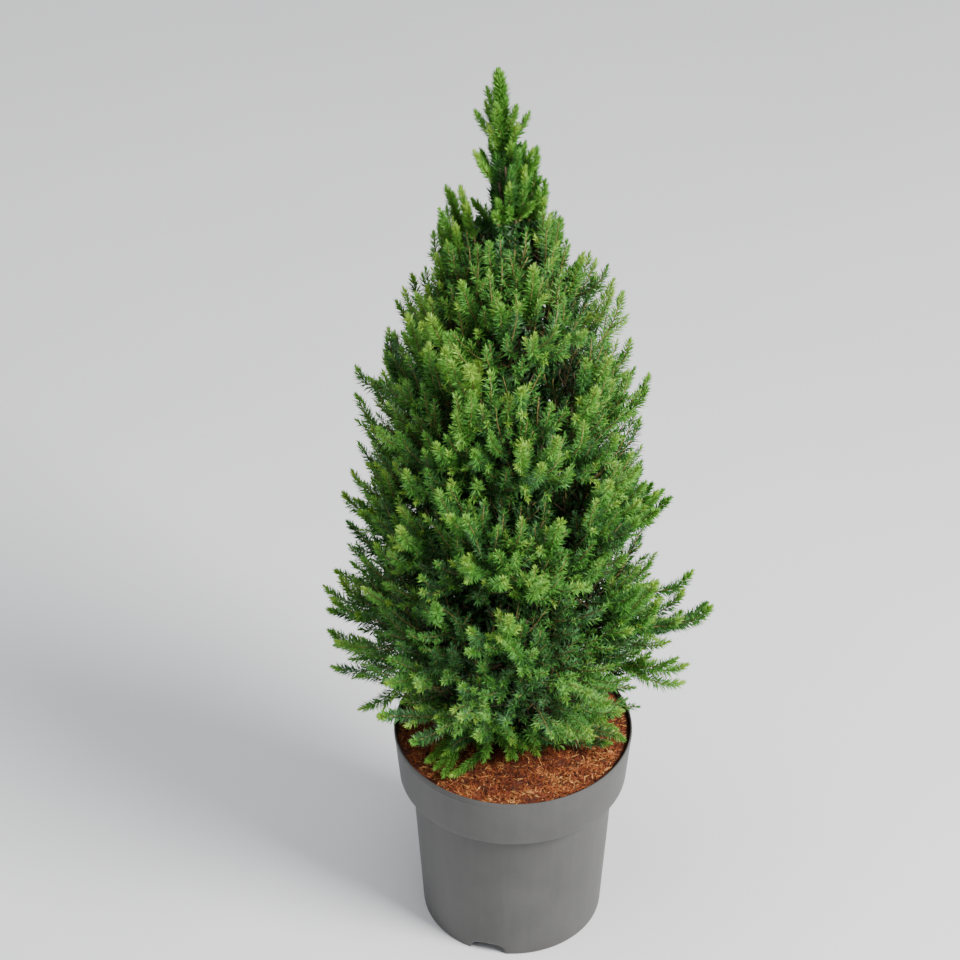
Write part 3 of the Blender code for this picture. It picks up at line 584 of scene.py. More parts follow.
def trunk_centre(height):
    """x = offset + lean * rise^5 and y = bow * sin(pi * rise), where rise goes from 0 to 1 up the plant."""
    height = np.asarray(height, float)
    rise = (height - MULCH_HEIGHT) / (PLANT_HEIGHT - MULCH_HEIGHT)
    sideways, bowed = TRUNK_OFFSET + TRUNK_LEAN * rise**5, TRUNK_BOW * np.sin(math.pi * rise)
    return np.stack((sideways, bowed, height), axis=-1)


def trunk_radius(height):
    """An almost even taper, (1 - rise)^0.9, with a flare that dies out as exp(-height / 18 mm)."""
    height = np.asarray(height, float)
    rise = (height - MULCH_HEIGHT) / (TRUNK_TIP - MULCH_HEIGHT)
    taper = TRUNK_TIP_RADIUS + (TRUNK_RADIUS - TRUNK_TIP_RADIUS) * np.clip(1 - rise, 0, 1) ** 0.9
    return taper + FLARE * np.exp(-(height - MULCH_HEIGHT) / FLARE_HEIGHT)


print("the trunk is", round(2000 * float(trunk_radius(MULCH_HEIGHT))), "mm thick at its foot")

# %% [markdown]
# Spruce bark at this age is grey-brown and flaky, in scales a few millimetres long. The scales are in the
# mesh: fine noise, stretched along the stem, moves each point of the tube in or out.

# %% Tubes with bark relief
TRUNK_RINGS = 560
TRUNK_SIDES = 64


def crossways(ways, upright=None):
    """Two axes at right angles to each way. An upright way is crossed with x, and any other with z."""
    upright = np.abs(ways[..., 2]) > 0.8 if upright is None else upright
    across = unit(np.cross(ways, np.where(upright[..., None], (1.0, 0.0, 0.0), (0.0, 0.0, 1.0))))
    return across, np.cross(ways, across)


def tubes(paths, radii, sides):
    """Grids (n, k, sides, 3) of tubes: centre + radius * (cos a * across + sin a * other)."""
    upright = np.abs(unit(paths[:, -1] - paths[:, 0])[:, 2]) > 0.8
    across, other = crossways(unit(np.gradient(paths, axis=1)), upright[:, None])
    angle = np.linspace(0, 2 * math.pi, sides, endpoint=False)
    ring = np.cos(angle)[:, None] * across[:, :, None] + np.sin(angle)[:, None] * other[:, :, None]
    return paths[:, :, None] + radii[:, :, None, None] * ring


def rough(grid, centres, size, depth, seed):
    """Bark relief: points go out by depth * (ridges - 0.5), where the noise is stretched 3 times upwards."""
    flat = grid.reshape(-1, 3)
    wide = value_noise(flat * (1, 1, 0.33), size, seed)
    ridges = 0.65 * wide + 0.35 * value_noise(flat * (1, 1, 0.6), size / 3, seed + 9)
    out = unit(grid - centres[:, None]).reshape(-1, 3)
    return (flat + out * (depth * (ridges - 0.5))[:, None]).reshape(grid.shape)


foot = MULCH_HEIGHT - 0.002
heights = foot + (TRUNK_TIP - foot) * np.linspace(0, 1, TRUNK_RINGS) ** 1.15
centres = trunk_centre(heights)
smooth_trunk = tubes(centres[None], trunk_radius(heights)[None], TRUNK_SIDES)[0]
relief = np.clip(trunk_radius(heights) * 0.16, 0.0002, 0.0016)[:, None, None]
trunk_grid = smooth_trunk + (rough(smooth_trunk, centres, 0.0045, 1.0, 2) - smooth_trunk) * relief
trunk_points, trunk_faces = closed_grid(trunk_grid, centres[0], centres[-1])
print("the bark's relief is", round(float(relief.max()) * 1000, 1), "mm at the foot")

# %% [markdown]
# Young spruce bark is brown with grey flakes. A cell pattern and a cloudy noise are added. Their sum picks
# the colour, from dark cracks to pale flakes, and it gives the bump too.

# %% Spruce bark
spruce_bark, tree, shader = new_material("flaky spruce bark")
place = node(tree, "ShaderNodeTexCoord", {}).outputs["Object"]
long_way = node(tree, "ShaderNodeMapping", {"Scale": (1.0, 1.0, 0.3)}, {"Vector": place})
scales = {"Scale": per_mm(3.5), "Randomness": 1.0}
flake = node(tree, "ShaderNodeTexVoronoi", scales, {"Vector": long_way.outputs["Vector"]}).outputs["Distance"]
patches = {"Scale": per_mm(12), "Detail": 4.0}
cloud = node(tree, "ShaderNodeTexNoise", patches, {"Vector": place}).outputs["Fac"]
blend = node(tree, "ShaderNodeMath", {"operation": "MULTIPLY_ADD", 1: 0.55}, {0: flake, 2: cloud})
stops = [(0.40, "#3B2A1F"), (0.95, "#94806C"), (0.66, "#6B5140")]
bark_colour = node(tree, "ShaderNodeValToRGB", {"stops": stops}, {"Fac": blend.outputs["Value"]})
tree.links.new(bark_colour.outputs["Color"], shader.inputs["Base Color"])
shader.inputs["Roughness"].default_value = 0.85
bump = node(tree, "ShaderNodeBump", {"Strength": 0.7, "Distance": 0.0006}, {"Height": blend.outputs["Value"]})
tree.links.new(bump.outputs["Normal"], shader.inputs["Normal"])
trunk = new_piece("trunk_bark", trunk_points, trunk_faces, spruce_bark)
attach(trunk, "root")
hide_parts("trunk")

# %% [markdown]
# ## The tiers of the crown
# The crown is dealt out in tiers, and each tier in wedges, one for each mass. A bough carries a wedge's
# stem. These are the sizes that the solids were made from, so what grows here fills the same spaces.

# %% Tiers
# The crown's outline: height, and radius round its own middle.
OUTLINE = np.array(
    [
        (0.250, 0.105), (0.300, 0.168), (0.372, 0.186), (0.450, 0.174), (0.540, 0.158), (0.670, 0.137),
        (0.785, 0.108), (0.835, 0.072), (0.895, 0.048), (0.925, 0.032), (1.000, 0.024), (PLANT_HEIGHT, 0.004),
    ]
)
# floor is where a tier's lowest foliage leaves the trunk, and slope how steeply that shelf rises outwards.
Tier = namedtuple("Tier", "name masses floor slope bough_rise bough_reach stem_reach shoots size turn")
TIERS = (
    Tier("skirt", 6, 0.248, 0.05, 0.42, 0.34, 0.66, 24, 1.0, 12),
    Tier("lower", 6, 0.330, 0.36, 0.58, 0.32, 0.66, 36, 1.0, 42),
    Tier("middle", 5, 0.440, 0.56, 0.86, 0.32, 0.66, 50, 1.0, 54),
    Tier("upper", 5, 0.548, 0.80, 1.10, 0.30, 0.66, 38, 0.95, 54),
    Tier("shoulder", 4, 0.672, 1.10, 1.50, 0.28, 0.64, 32, 0.8, 0),
    Tier("spire", 3, 0.831, 1.80, 2.60, 0.00, 0.60, 12, 0.75, 30),
)
print(len(TIERS), "tiers,", sum(tier.masses for tier in TIERS), "masses and the leader")

# %% [markdown]
# The crown has a middle of its own, a little left of the pot's. The outline goes round it, tucked in at two
# places where the foliage gives way.

# %% The crown's outline
CROWN_MIDDLE = -0.012
TRUNK_IS_MIDDLE_ABOVE = 0.9
# The outline is tucked in at two places: under 0.37 m at the front left, and at 0.79 m on the left.
FRONT_TUCK, FRONT_TUCK_TOP, FRONT_LEFT = 0.44, 0.37, math.radians(-120)
LEFT_TUCK, LEFT_TUCK_HEIGHT = 0.13, 0.79
TUCK_RUN = 0.07
UP = np.array((0.0, 0.0, 1.0))


def crown_radius(height):
    """The outline's radius at a height, straight from one of its points to the next."""
    return np.interp(height, OUTLINE[:, 0], OUTLINE[:, 1])


def reach_at(height, angle):
    """The outline's radius times 1 - 0.44 sqrt(cos(a - front left)) low down - 0.13 (-cos a) at 0.79 m."""
    low_down = np.clip((FRONT_TUCK_TOP - height) / TUCK_RUN, 0, 1)
    front = np.sqrt(np.clip(np.cos(angle - FRONT_LEFT), 0, 1)) * low_down
    near = np.clip(1 - np.abs(height - LEFT_TUCK_HEIGHT) / TUCK_RUN, 0, 1)
    left = np.clip(-np.cos(angle), 0, 1) * near
    return crown_radius(height) * (1 - FRONT_TUCK * front - LEFT_TUCK * left)


def outward(angle):
    """The level way at an angle: (cos a, sin a, 0)."""
    angle = np.asarray(angle, float)
    return np.stack((np.cos(angle), np.sin(angle), np.zeros_like(angle)), axis=-1)


def crown_axis(height):
    """The crown's own middle, which follows the trunk above 0.9 m."""
    height = np.asarray(height, float)
    low = np.stack((np.full_like(height, CROWN_MIDDLE), np.zeros_like(height), height), axis=-1)
    return np.where((height > TRUNK_IS_MIDDLE_ABOVE)[..., None], trunk_centre(height), low)


print("the crown is", round(2000 * float(OUTLINE[:, 1].max())), "mm wide at most")

# %% [markdown]
# A wedge of a tier lies between its own shelf and the shelf of the tier above. Both rise outwards, so where
# the outline crosses them is found by halving the height again and again.

# %% Wedges
LEADER_FLOOR, LEADER_SLOPE = 0.952, 0.8
HALVINGS = 18

Wedge = namedtuple("Wedge", "tier index angle half floor slope roof roof_slope")


def wedges():
    """Every wedge of every tier. A wedge's roof is the shelf of the tier above."""
    floors = [tier.floor for tier in TIERS] + [LEADER_FLOOR]
    slopes = [tier.slope for tier in TIERS] + [LEADER_SLOPE]
    made = []
    for level, tier in enumerate(TIERS):
        for index in range(tier.masses):
            angle = math.radians(tier.turn) + 2 * math.pi * index / tier.masses
            half = math.pi / tier.masses
            roof = floors[level + 1], slopes[level + 1]
            made.append(Wedge(tier, index, angle, half, tier.floor, tier.slope, *roof))
    return made


def outline_points(wedge, share_up, turn, depth):
    """Points on the crown's outline, or set back by a share of its radius, found by halving the height."""
    below = np.full(len(share_up), wedge.floor)
    above = np.full(len(share_up), PLANT_HEIGHT)
    for _ in range(HALVINGS):
        height = (below + above) / 2
        reach = reach_at(height, wedge.angle + turn) * (1 - depth)
        low, high = wedge.floor + wedge.slope * reach, wedge.roof + wedge.roof_slope * reach
        over = height > low + share_up * (high - low)
        above, below = np.where(over, height, above), np.where(over, below, height)
    return crown_axis(height) + outward(wedge.angle + turn) * reach[:, None]


WEDGES = wedges()
print(len(WEDGES), "wedges")

# %% [markdown]
# Boughs leave the trunk under each wedge and rise to where its foliage begins. They carry the trunk's bark.

# %% Boughs
BOUGH_RINGS = 40
BOUGH_SIDES = 20
BOUGH_ROOT = 0.0048
BOUGH_TIP = 0.0026


def bough_path(wedge, count):
    """From the trunk's middle outwards, rising as share^0.85. The feet of a tier's boughs are staggered."""
    tier = wedge.tier
    foot = trunk_centre(tier.floor + 0.016 + 0.007 * (wedge.index % 3))
    reach = tier.bough_reach * crown_radius(tier.floor + 0.06)
    share = np.linspace(0, 1, count)[:, None]
    path = foot + share * reach * outward(wedge.angle) + share**0.85 * reach * tier.bough_rise * UP
    root = BOUGH_ROOT * trunk_radius(foot[2]) / TRUNK_RADIUS
    return path, root + (BOUGH_TIP - root) * share[:, 0] ** 0.7


bough_points, bough_quads, bough_fans, start = [], [], [], 0
bough_ends = {}
for number, wedge in enumerate(WEDGES):
    if not wedge.tier.bough_reach:
        continue
    path, radii = bough_path(wedge, BOUGH_RINGS)
    bough_ends[number] = (path[-1], unit(path[-1] - path[-2]))
    grid = rough(tubes(path[None], radii[None], BOUGH_SIDES)[0], path, 0.003, 0.0005, number)
    points, (quads, fans) = closed_grid(grid, path[0], path[-1])
    bough_points.append(points)
    bough_quads.append(quads + start)
    bough_fans.append(fans + start)
    start += len(points)
bough_faces = [np.vstack(bough_quads), np.vstack(bough_fans)]
boughs = new_piece("bough_bark", np.vstack(bough_points), bough_faces, spruce_bark)
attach(boughs, "root")
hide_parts(*BOUGHS)

# %% [markdown]
# ## The rule of growth
# In each wedge a stem runs on from the bough, a fan of twigs leaves it, and branchlets fill the space
# between. Shoots are dealt over the outline by golden steps, in layers: some reach the outline, others stop
# short. Noise pushes some patches deeper, which opens the dark pockets that a dense crown still has. Each
# shoot finds the place on that wood from which it can rise at the angle of its height.

# %% Curves and the choice of a root
LIFT_HEIGHTS = (0.25, 0.30, 0.36, 0.44, 0.54, 0.66, 0.80, 0.92)
LIFTS = (-4, 8, 26, 46, 58, 66, 74, 78)


def branch(root, way, tip, tip_way, count):
    """Cubic curves (n, count, 3) that leave a root one way and reach a tip another: (1-t)^3 a + 3t(1-t)^2 b
    + 3t^2(1-t) c + t^3 d, where b and c are 0.35 and 0.40 lengths from the ends."""
    t = np.linspace(0, 1, count)[None, :, None]
    length = np.linalg.norm(tip - root, axis=-1, keepdims=True)
    points = root, root + way * length * 0.35, tip - tip_way * length * 0.4, tip
    a, b, c, d = (np.atleast_2d(point)[:, None] for point in points)
    return (1 - t) ** 3 * a + 3 * t * (1 - t) ** 2 * b + 3 * t * t * (1 - t) * c + t**3 * d


def growth_way(tips, random, spread):
    """The way that a shoot points at its tip: outwards, raised by the lift at that height, and uneven."""
    away = tips - crown_axis(tips[:, 2])
    angle = np.arctan2(away[:, 1], away[:, 0]) + random.normal(0, spread, len(tips))
    lift = np.radians(np.interp(tips[:, 2], LIFT_HEIGHTS, LIFTS) + random.normal(0, 8, len(tips)))
    return outward(angle) * np.cos(lift)[:, None] + UP * np.sin(lift)[:, None]


def rooted(tips, ways, carriers, wanted):
    """For each tip, the carrier point with the least cost: 3 (1 - cos of the bend), the miss in length over
    2 cm, and 6 for a run under 12 mm."""
    run = tips[:, None] - carriers[None]
    length = np.linalg.norm(run, axis=2)
    bend = 1 - (run * ways[:, None]).sum(2) / length
    cost = 3.0 * bend + np.abs(length - wanted[:, None]) / 0.02 + 6 * (length < 0.012)
    return cost.argmin(axis=1)


print("lift at 0.5 m:", round(float(np.interp(0.5, LIFT_HEIGHTS, LIFTS))), "degrees")

# %% [markdown]
# A few shoots stand out of the crown, and they make its outline: those beside the leader, the group on the
# left shoulder, the loose sprays low on the right, and some that droop over the mulch. Others stand proud of
# the front, with bright tips. They are placed here by their tips.

# %% Shoots that stand out
# The tip of each in millimetres.
STANDING = np.array(
    [
        (-38, 0, 993), (-29, 6, 998), (-2, -12, 1006), (9, -2, 992), (-28, 2, 1016), (-12, -4, 1010),
        (-20, -12, 1008), (-16, 10, 1014), (-39, -4, 952), (-35, -14, 948), (-33, 10, 944), (13, 2, 950),
        (18, -6, 946), (6, -16, 943), (26, 0, 917), (-66, 2, 910), (-53, -6, 914), (-41, 6, 893),
        (-60, 10, 897), (-47, -12, 900), (-72, -8, 890), (-58, -16, 878), (-50, 14, 872), (-66, -14, 858),
        (-79, 6, 856), (-73, 0, 872), (-76, -12, 843), (33, -6, 878), (42, 6, 870), (58, -4, 830),
        (86, 4, 819), (101, -4, 793), (-108, 4, 793), (-86, -8, 802), (-70, 4, 833), (111, 10, 729),
        (129, -4, 697), (-155, 4, 700), (-125, -4, 729), (123, 10, 633), (141, -4, 553), (-171, 4, 546),
        (181, 10, 440), (199, -30, 427), (197, 4, 404), (186, 20, 377), (177, -14, 337), (174, -12, 312),
        (-177, 4, 437), (-189, 0, 371), (-185, -10, 331), (-157, -20, 284), (172, -6, 428), (171, 4, 392),
        (166, -20, 350), (-88, -66, 253), (-72, -85, 250), (-80, -74, 251), (-70, -73, 270),
        (-63, -88, 252), (-30, -74, 264), (0, -69, 262), (12, -58, 266), (24, -64, 262),
    ]
) / 1000
# Long ones that stand proud of the front: angle in degrees and height. The crown's outline gives the rest.
PROUD = np.array(
    [
        (-2, 0.837), (-65, 0.860), (-93, 0.830), (-124, 0.842), (-140, 0.804), (-159, 0.788), (-122, 0.787),
        (-107, 0.780), (-82, 0.762), (-46, 0.742), (-83, 0.711), (-68, 0.708), (-40, 0.685), (-102, 0.700),
        (-118, 0.699), (-69, 0.624), (-110, 0.630), (-130, 0.598), (-102, 0.580), (-88, 0.527), (-101, 0.488),
        (-95, 0.432), (-82, 0.431), (-78, 0.407),
    ]
)
print(len(STANDING), "standing shoots and", len(PROUD), "proud ones")

# %% [markdown]
# Two kinds of shoot are dealt in each wedge. Full ones end near the outline in layers: a few pass it, and
# most stop a little behind. Inner ones are what is left of old growth near the trunk: coarse and thinly
# needled, and they keep daylight from passing through. Their dark colour is partly the old needles' own and
# partly painted shade of the crown's inside.

# %% Deal tips over the outline
FULL_LENGTH = 0.078
INNER_PER_METRE = 270
STANDING_DEPTH, PROUD_DEPTH = -0.02, -0.10
LAYERS = (0.02, 0.07, 0.12, -0.06, 0.08, 0.20, 0.04, 0.12, 0.30)
GOLDEN_STEP, SILVER_STEP = 0.7548777, 0.5698403
# depth is the share of the crown's radius by which a tip is set back. Plain shoots have no side shoots.
Shoots = namedtuple("Shoots", "root way tip tip_way depth size inner plain")


def dealt(wedge, count, depth, random):
    """Tips over the wedge's outline by golden and silver steps, each set back by its depth."""
    index = np.arange(count)
    share_up = 0.02 + 0.96 * ((index * SILVER_STEP + 0.10 * random.random(count)) % 1)
    turn = 0.98 * wedge.half * (2 * ((index * GOLDEN_STEP + 0.10 * random.random(count)) % 1) - 1)
    return outline_points(wedge, share_up, turn, depth)


def set_back(tips, depth):
    """Deeper where the noise is high, so that pockets about 5 cm across open between the sprays."""
    return depth + 0.50 * np.clip(value_noise(tips, 0.055, 11) - 0.54, 0, 1)


print("a full shoot is about", round(FULL_LENGTH * 1000), "mm long")

# %% [markdown]
# A wedge takes the standing shoots that end in it. One place stays open: daylight shows between the leader
# and the left shoulder, so no twig or dealt shoot may end there.

# %% Standing shoots and the gap
GAP_SIDE, GAP_FLOOR = -0.022, 0.885


def standing_in(wedge):
    """Which standing shoots end inside this wedge."""
    away = STANDING - crown_axis(STANDING[:, 2])
    swing = (np.arctan2(away[:, 1], away[:, 0]) - wedge.angle + math.pi) % (2 * math.pi) - math.pi
    radius = np.hypot(away[:, 0], away[:, 1])
    over = STANDING[:, 2] >= wedge.floor + wedge.slope * radius
    return (np.abs(swing) <= wedge.half) & over & (STANDING[:, 2] < wedge.roof + wedge.roof_slope * radius)


def in_gap(points):
    """True left of the leader, where daylight shows between it and the left shoulder."""
    return (points[..., 0] < GAP_SIDE) & (points[..., 2] > GAP_FLOOR)


print(int(in_gap(STANDING).sum()), "standing shoots end in the gap")

# %% [markdown]
# The wood of a wedge is a stem that runs on from the bough, a fan of five twigs, and branchlets between them.
# In the spire, where there is no bough, the stem starts at the trunk.

# %% The wood of a wedge
WOOD_RINGS = 12
# Each twig of the fan: its ring on the stem, its turn in half wedges, and how high it ends in the wedge.
FAN = np.array([(1, -0.68, 0.35), (1, 0.68, 0.35), (3, -0.36, 0.62), (2, 0.36, 0.12), (4, 0.0, 0.8)])


def carriers(wedge, number, random):
    """The wedge's stem and fan, and its branchlets, as curves of 12 points."""
    tier = wedge.tier
    if number in bough_ends:
        start, way = bough_ends[number]
    else:
        start = trunk_centre(tier.floor + 0.030 + 0.014 * (number % 3))
        way = unit(outward(wedge.angle) + UP * tier.bough_rise)
        start = start + outward(wedge.angle) * trunk_radius(start[2]) * 0.8
    back = 1 - tier.stem_reach
    end = outline_points(wedge, np.array([0.40]), np.array([0.0]), np.array([back]))[0]
    stem = branch(start, way, end, unit(end - start), WOOD_RINGS)
    fan_end = outline_points(wedge, FAN[:, 2], wedge.half * FAN[:, 1], np.full(len(FAN), back))
    fan_root = stem[0, FAN[:, 0].astype(int)]
    fan_way = growth_way(fan_end, random, 0.2)
    fan = branch(fan_root, unit(fan_end - fan_root), fan_end, fan_way, WOOD_RINGS)
    main = np.concatenate((stem, fan[~in_gap(fan_end)]))
    count = 10 if tier.name == "spire" else 22
    tip = dealt(wedge, count, random.uniform(0.36, 0.62, count), random)
    tip = tip[~in_gap(tip)]
    way = growth_way(tip, random, 0.3)
    wood = main[:, 2:].reshape(-1, 3)
    pick = rooted(tip, way, wood, np.full(len(tip), 0.040 * tier.size))
    return main, branch(wood[pick], unit(tip - wood[pick]), tip, way, WOOD_RINGS)


print("a stem, a fan of", len(FAN), "twigs and up to 22 branchlets to a wedge")

# %% [markdown]
# Each of its shoots finds its root on that wood, leaves it a little outwards and bends to its own way.
# Standing shoots above 0.4 m are turned up further, because they end high over their neighbours.

# %% The shoots of a wedge
INNER_DEPTHS = (0.40, 0.90)
STEM_RADII, BRANCHLET_RADII = (0.0019, 0.0010), (0.0011, 0.0006)
HIGHEST_IN_WEDGE = 0.86


def shoots_of(wedge, main, lets, extra, random):
    """Full and inner shoots of one wedge, with the standing ones that end in it. Each leaves its wood
    along run / length + 0.30 outwards - 0.08 up."""
    tier = wedge.tier
    full, inner = tier.shoots, round(INNER_PER_METRE * crown_radius(tier.floor + 0.05))
    depth = np.array(LAYERS)[np.arange(full) % len(LAYERS)] + 0.05 * random.random(full)
    depth = set_back(dealt(wedge, full, depth, random), depth)
    depth = np.concatenate((depth, random.uniform(*INNER_DEPTHS, inner), np.full(len(extra), STANDING_DEPTH)))
    tip = np.concatenate((dealt(wedge, full + inner, depth[: full + inner], random), extra))
    kept = ~in_gap(tip) | (np.arange(len(tip)) >= full + inner)
    depth, tip = depth[kept], tip[kept]
    standing, is_inner = depth == STANDING_DEPTH, depth > INNER_DEPTHS[0] - 0.001
    way = growth_way(tip, random, 0.28)
    turned_up = np.interp(tip[:, 2], (0.32, 0.42), (-0.1, 0.9)) * standing
    way = unit(way + turned_up[:, None] * UP)
    size = tier.size * random.uniform(0.80, 1.20, len(tip))
    size[depth < 0] = tier.size * 1.2
    wood = np.concatenate((main[:, 2:].reshape(-1, 3), lets[:, 3:].reshape(-1, 3)))
    wanted = FULL_LENGTH * size * np.where(is_inner, 0.6, np.where(standing, 0.75, 1.0))
    pick = rooted(tip, way, wood, wanted)
    leave = unit(unit(tip - wood[pick]) + 0.30 * outward(np.full(len(tip), wedge.angle)) - 0.08 * UP)
    return Shoots(wood[pick], leave, tip, way, depth, size, is_inner, np.full(len(tip), tier.name == "spire"))


random = np.random.default_rng(41)
woods, grown = [], []
taken = np.zeros(len(STANDING), bool)
for number, wedge in enumerate(WEDGES):
    main, lets = carriers(wedge, number, random)
    woods += [(main, STEM_RADII[0] * wedge.tier.size**0.5, STEM_RADII[1]), (lets, *BRANCHLET_RADII)]
    here = standing_in(wedge) & ~taken & (STANDING[:, 2] < HIGHEST_IN_WEDGE)
    taken |= here
    grown.append(shoots_of(wedge, main, lets, STANDING[here], random))
wood = np.concatenate([paths.reshape(-1, 3) for paths, _, _ in woods])
print(sum(len(some.tip) for some in grown), "shoots in the wedges")

# %% [markdown]
# The other standing shoots rise from the nearest wood or, beside the leader, from the trunk. The trunk also
# has short twigs of its own inside the crown, turned by the golden angle from one to the next.

# %% Shoots from given roots
GOLDEN_ANGLE = 2.39996
TRUNK_TWIGS = 230
LOWEST_TWIG, TWIGS_RISE = 0.262, 0.60
BESIDE_LEADER = 0.034


def from_roots(root, tips, size, inner=False):
    """Shoots between given roots and tips, which leave low and end steeper. Those outside are plain."""
    count = len(tips)
    away = tips - root
    leave = unit(away + 0.4 * away * (1, 1, 0))
    depth, kind = np.full(count, 0.5 * inner), np.full(count, inner)
    return Shoots(root, leave, tips, unit(away + 0.02 * UP), depth, np.full(count, size), kind, ~kind)


last = STANDING[~taken]
beside = np.hypot(*(last - trunk_centre(last[:, 2]))[:, :2].T) < BESIDE_LEADER
pick = rooted(last[~beside], growth_way(last[~beside], random, 0.1), wood, np.full((~beside).sum(), 0.062))
grown.append(from_roots(wood[pick], last[~beside], 1.0))

order = np.arange(TRUNK_TWIGS)
height = LOWEST_TWIG + TWIGS_RISE * ((order + 0.5) / TRUNK_TWIGS)
reach = 0.55 * crown_radius(height) * random.uniform(0.25, 0.55, TRUNK_TWIGS)
away = outward(order * GOLDEN_ANGLE) * reach[:, None]
rise = UP * random.uniform(0.028, 0.052, TRUNK_TWIGS)[:, None]
tips = trunk_centre(height) + away + rise
clear = ~in_gap(tips + 0.012 * UP)
grown.append(from_roots(trunk_centre(height)[clear], tips[clear], 1.0, inner=True))
print(int(clear.sum()), "twigs on the trunk")

# %% [markdown]
# The leader is the trunk's own last stretch. Short steep shoots hug it, longer ones lower down. Last come the
# proud shoots of the front, which reach 5 percent beyond the outline.

# %% The leader and the proud shoots
WHORL = 14
SHOOT_RINGS = 9
WHORL_FLOOR, WHORL_RISE = 0.888, 0.112
LEADER_FOOT, LEADER_TIP = 0.925, 1.0322
PROUD_REACH = 1.05

order = np.arange(WHORL)
height = WHORL_FLOOR + WHORL_RISE * ((order * SILVER_STEP) % 1)
reach = (0.007 + 0.019 * (1.04 - height) / 0.14) * random.uniform(0.8, 1.1, WHORL)
tips = trunk_centre(height) + outward(order * GOLDEN_ANGLE) * reach[:, None]
tips = np.concatenate((tips[(tips[:, 0] > -0.030) | (tips[:, 2] > 0.93)], last[beside]))
grown.append(from_roots(trunk_centre(tips[:, 2] - 0.036), tips, 1.0))

angle, height = np.radians(PROUD[:, 0]), PROUD[:, 1]
tips = crown_axis(height) + outward(angle) * (PROUD_REACH * reach_at(height, angle))[:, None]
ways = growth_way(tips, random, 0.1)
root = wood[rooted(tips, ways, wood, np.full(len(tips), 0.085))]
depth, size = np.full(len(tips), PROUD_DEPTH), np.full(len(tips), 1.1)
neither = np.zeros(len(tips), bool)
grown.append(Shoots(root, unit(tips - root), tips, ways, depth, size, neither, neither))

leader_path = trunk_centre(np.linspace(LEADER_FOOT, LEADER_TIP, SHOOT_RINGS))
leader = (leader_path[0], UP, leader_path[-1], UP, 0.0, 1.0, False, True)
grown.append(Shoots(*(np.array([part]) for part in leader)))
shoots = Shoots(*(np.concatenate(part) for part in zip(*grown)))
print(len(shoots.tip), "shoots,", int(shoots.inner.sum()), "of them inside the crown")

# %% [markdown]
# ## Side shoots
# Most shoots branch once more. The side shoots leave at about 45 degrees, turn round the shoot by the golden
# angle, grow shorter towards its tip, and bend forwards as they go. The shoot's own tip stays ahead of them,
# and that gives a spruce its points.

# %% Side shoots
SIDE_RINGS = 3
SIDE_PLACES = (0.20, 0.36, 0.52)
SHORTEST_SIDE = 0.0055
LONGEST_COUNTED = 0.085


def at_share(paths, share):
    """Points and tangents of curves (n, k, 3) at one share of each."""
    place = share * (paths.shape[1] - 1)
    low = np.minimum(place.astype(int), paths.shape[1] - 2)
    index = np.arange(len(paths))
    before, after = paths[index, low], paths[index, low + 1]
    return before + (place - low)[:, None] * (after - before), unit(after - before)


def lengths_of(paths):
    """The sum of the steps along each path."""
    return np.linalg.norm(np.diff(paths, axis=1), axis=2).sum(1)


shoot_paths = branch(shoots.root, shoots.way, shoots.tip, shoots.tip_way, SHOOT_RINGS)
shoot_paths[-1] = leader_path
shoot_length = lengths_of(shoot_paths)
count = len(shoot_paths)
phase = random.random(count) * 2 * math.pi
odds = np.where(shoots.inner, 0.35, np.where(shoots.depth < 0.05, 0.75, 0.9)) * ~shoots.plain
side_paths, side_owner = [], []
for index, share in enumerate(SIDE_PLACES):
    share = share + random.normal(0, 0.03, count)
    root, tangent = at_share(shoot_paths, share)
    across, other = crossways(tangent)
    roll = phase + GOLDEN_ANGLE * index + random.normal(0, 0.25, count)
    out = np.cos(roll)[:, None] * across + np.sin(roll)[:, None] * other
    opening = np.radians(random.normal(46, 7, count))[:, None]
    leave = np.cos(opening) * tangent + np.sin(opening) * out
    # Its length is 0.07 + 0.36 (1 - share) of the shoot's own, of which 85 mm at most are counted.
    counted = np.minimum(shoot_length, LONGEST_COUNTED)
    length = (0.07 + 0.36 * (1 - share)) * counted * random.uniform(0.7, 1.2, count)
    tip = root + (0.72 * leave + 0.28 * tangent + 0.06 * UP) * length[:, None]
    grows = (length > SHORTEST_SIDE) & (random.random(count) < odds)
    paths = branch(root, leave, tip, unit(leave + 0.8 * tangent + 0.2 * UP), SIDE_RINGS)
    side_paths.append(paths[grows])
    side_owner.append(np.flatnonzero(grows))
side_paths = np.concatenate(side_paths)
side_owner = np.concatenate(side_owner)
print(len(side_paths), "side shoots")

# %% [markdown]
# ## What stays inside
# Nothing may grow through the pot, lie in the mulch, or pass the plant's own height and reach. A shoot that
# would is left out, with its side shoots. So is a stray one in the gap beside the leader.

# %% Keep clear of the pot
LOW, HIGH = np.array(CAD_BOX[0]), np.array(CAD_BOX[1])
LIP_INSIDE, LIP_OUTSIDE = 0.112, 0.136
BED_REACH = 0.124
CLEARANCE = 0.007


def free(points):
    """True where points lie inside the plant's box, over the mulch and clear of the pot's lip."""
    reach = np.hypot(points[..., 0], points[..., 1])
    over_lip = (reach < LIP_INSIDE) | (reach > LIP_OUTSIDE) | (points[..., 2] > POT_HEIGHT + CLEARANCE)
    over_bed = (reach > BED_REACH) | (points[..., 2] > MULCH_HEIGHT + CLEARANCE)
    fits = ((points > LOW - 0.002) & (points < HIGH + 0.002)).all(-1)
    return over_lip & over_bed & fits & (points[..., 2] > MULCH_HEIGHT)


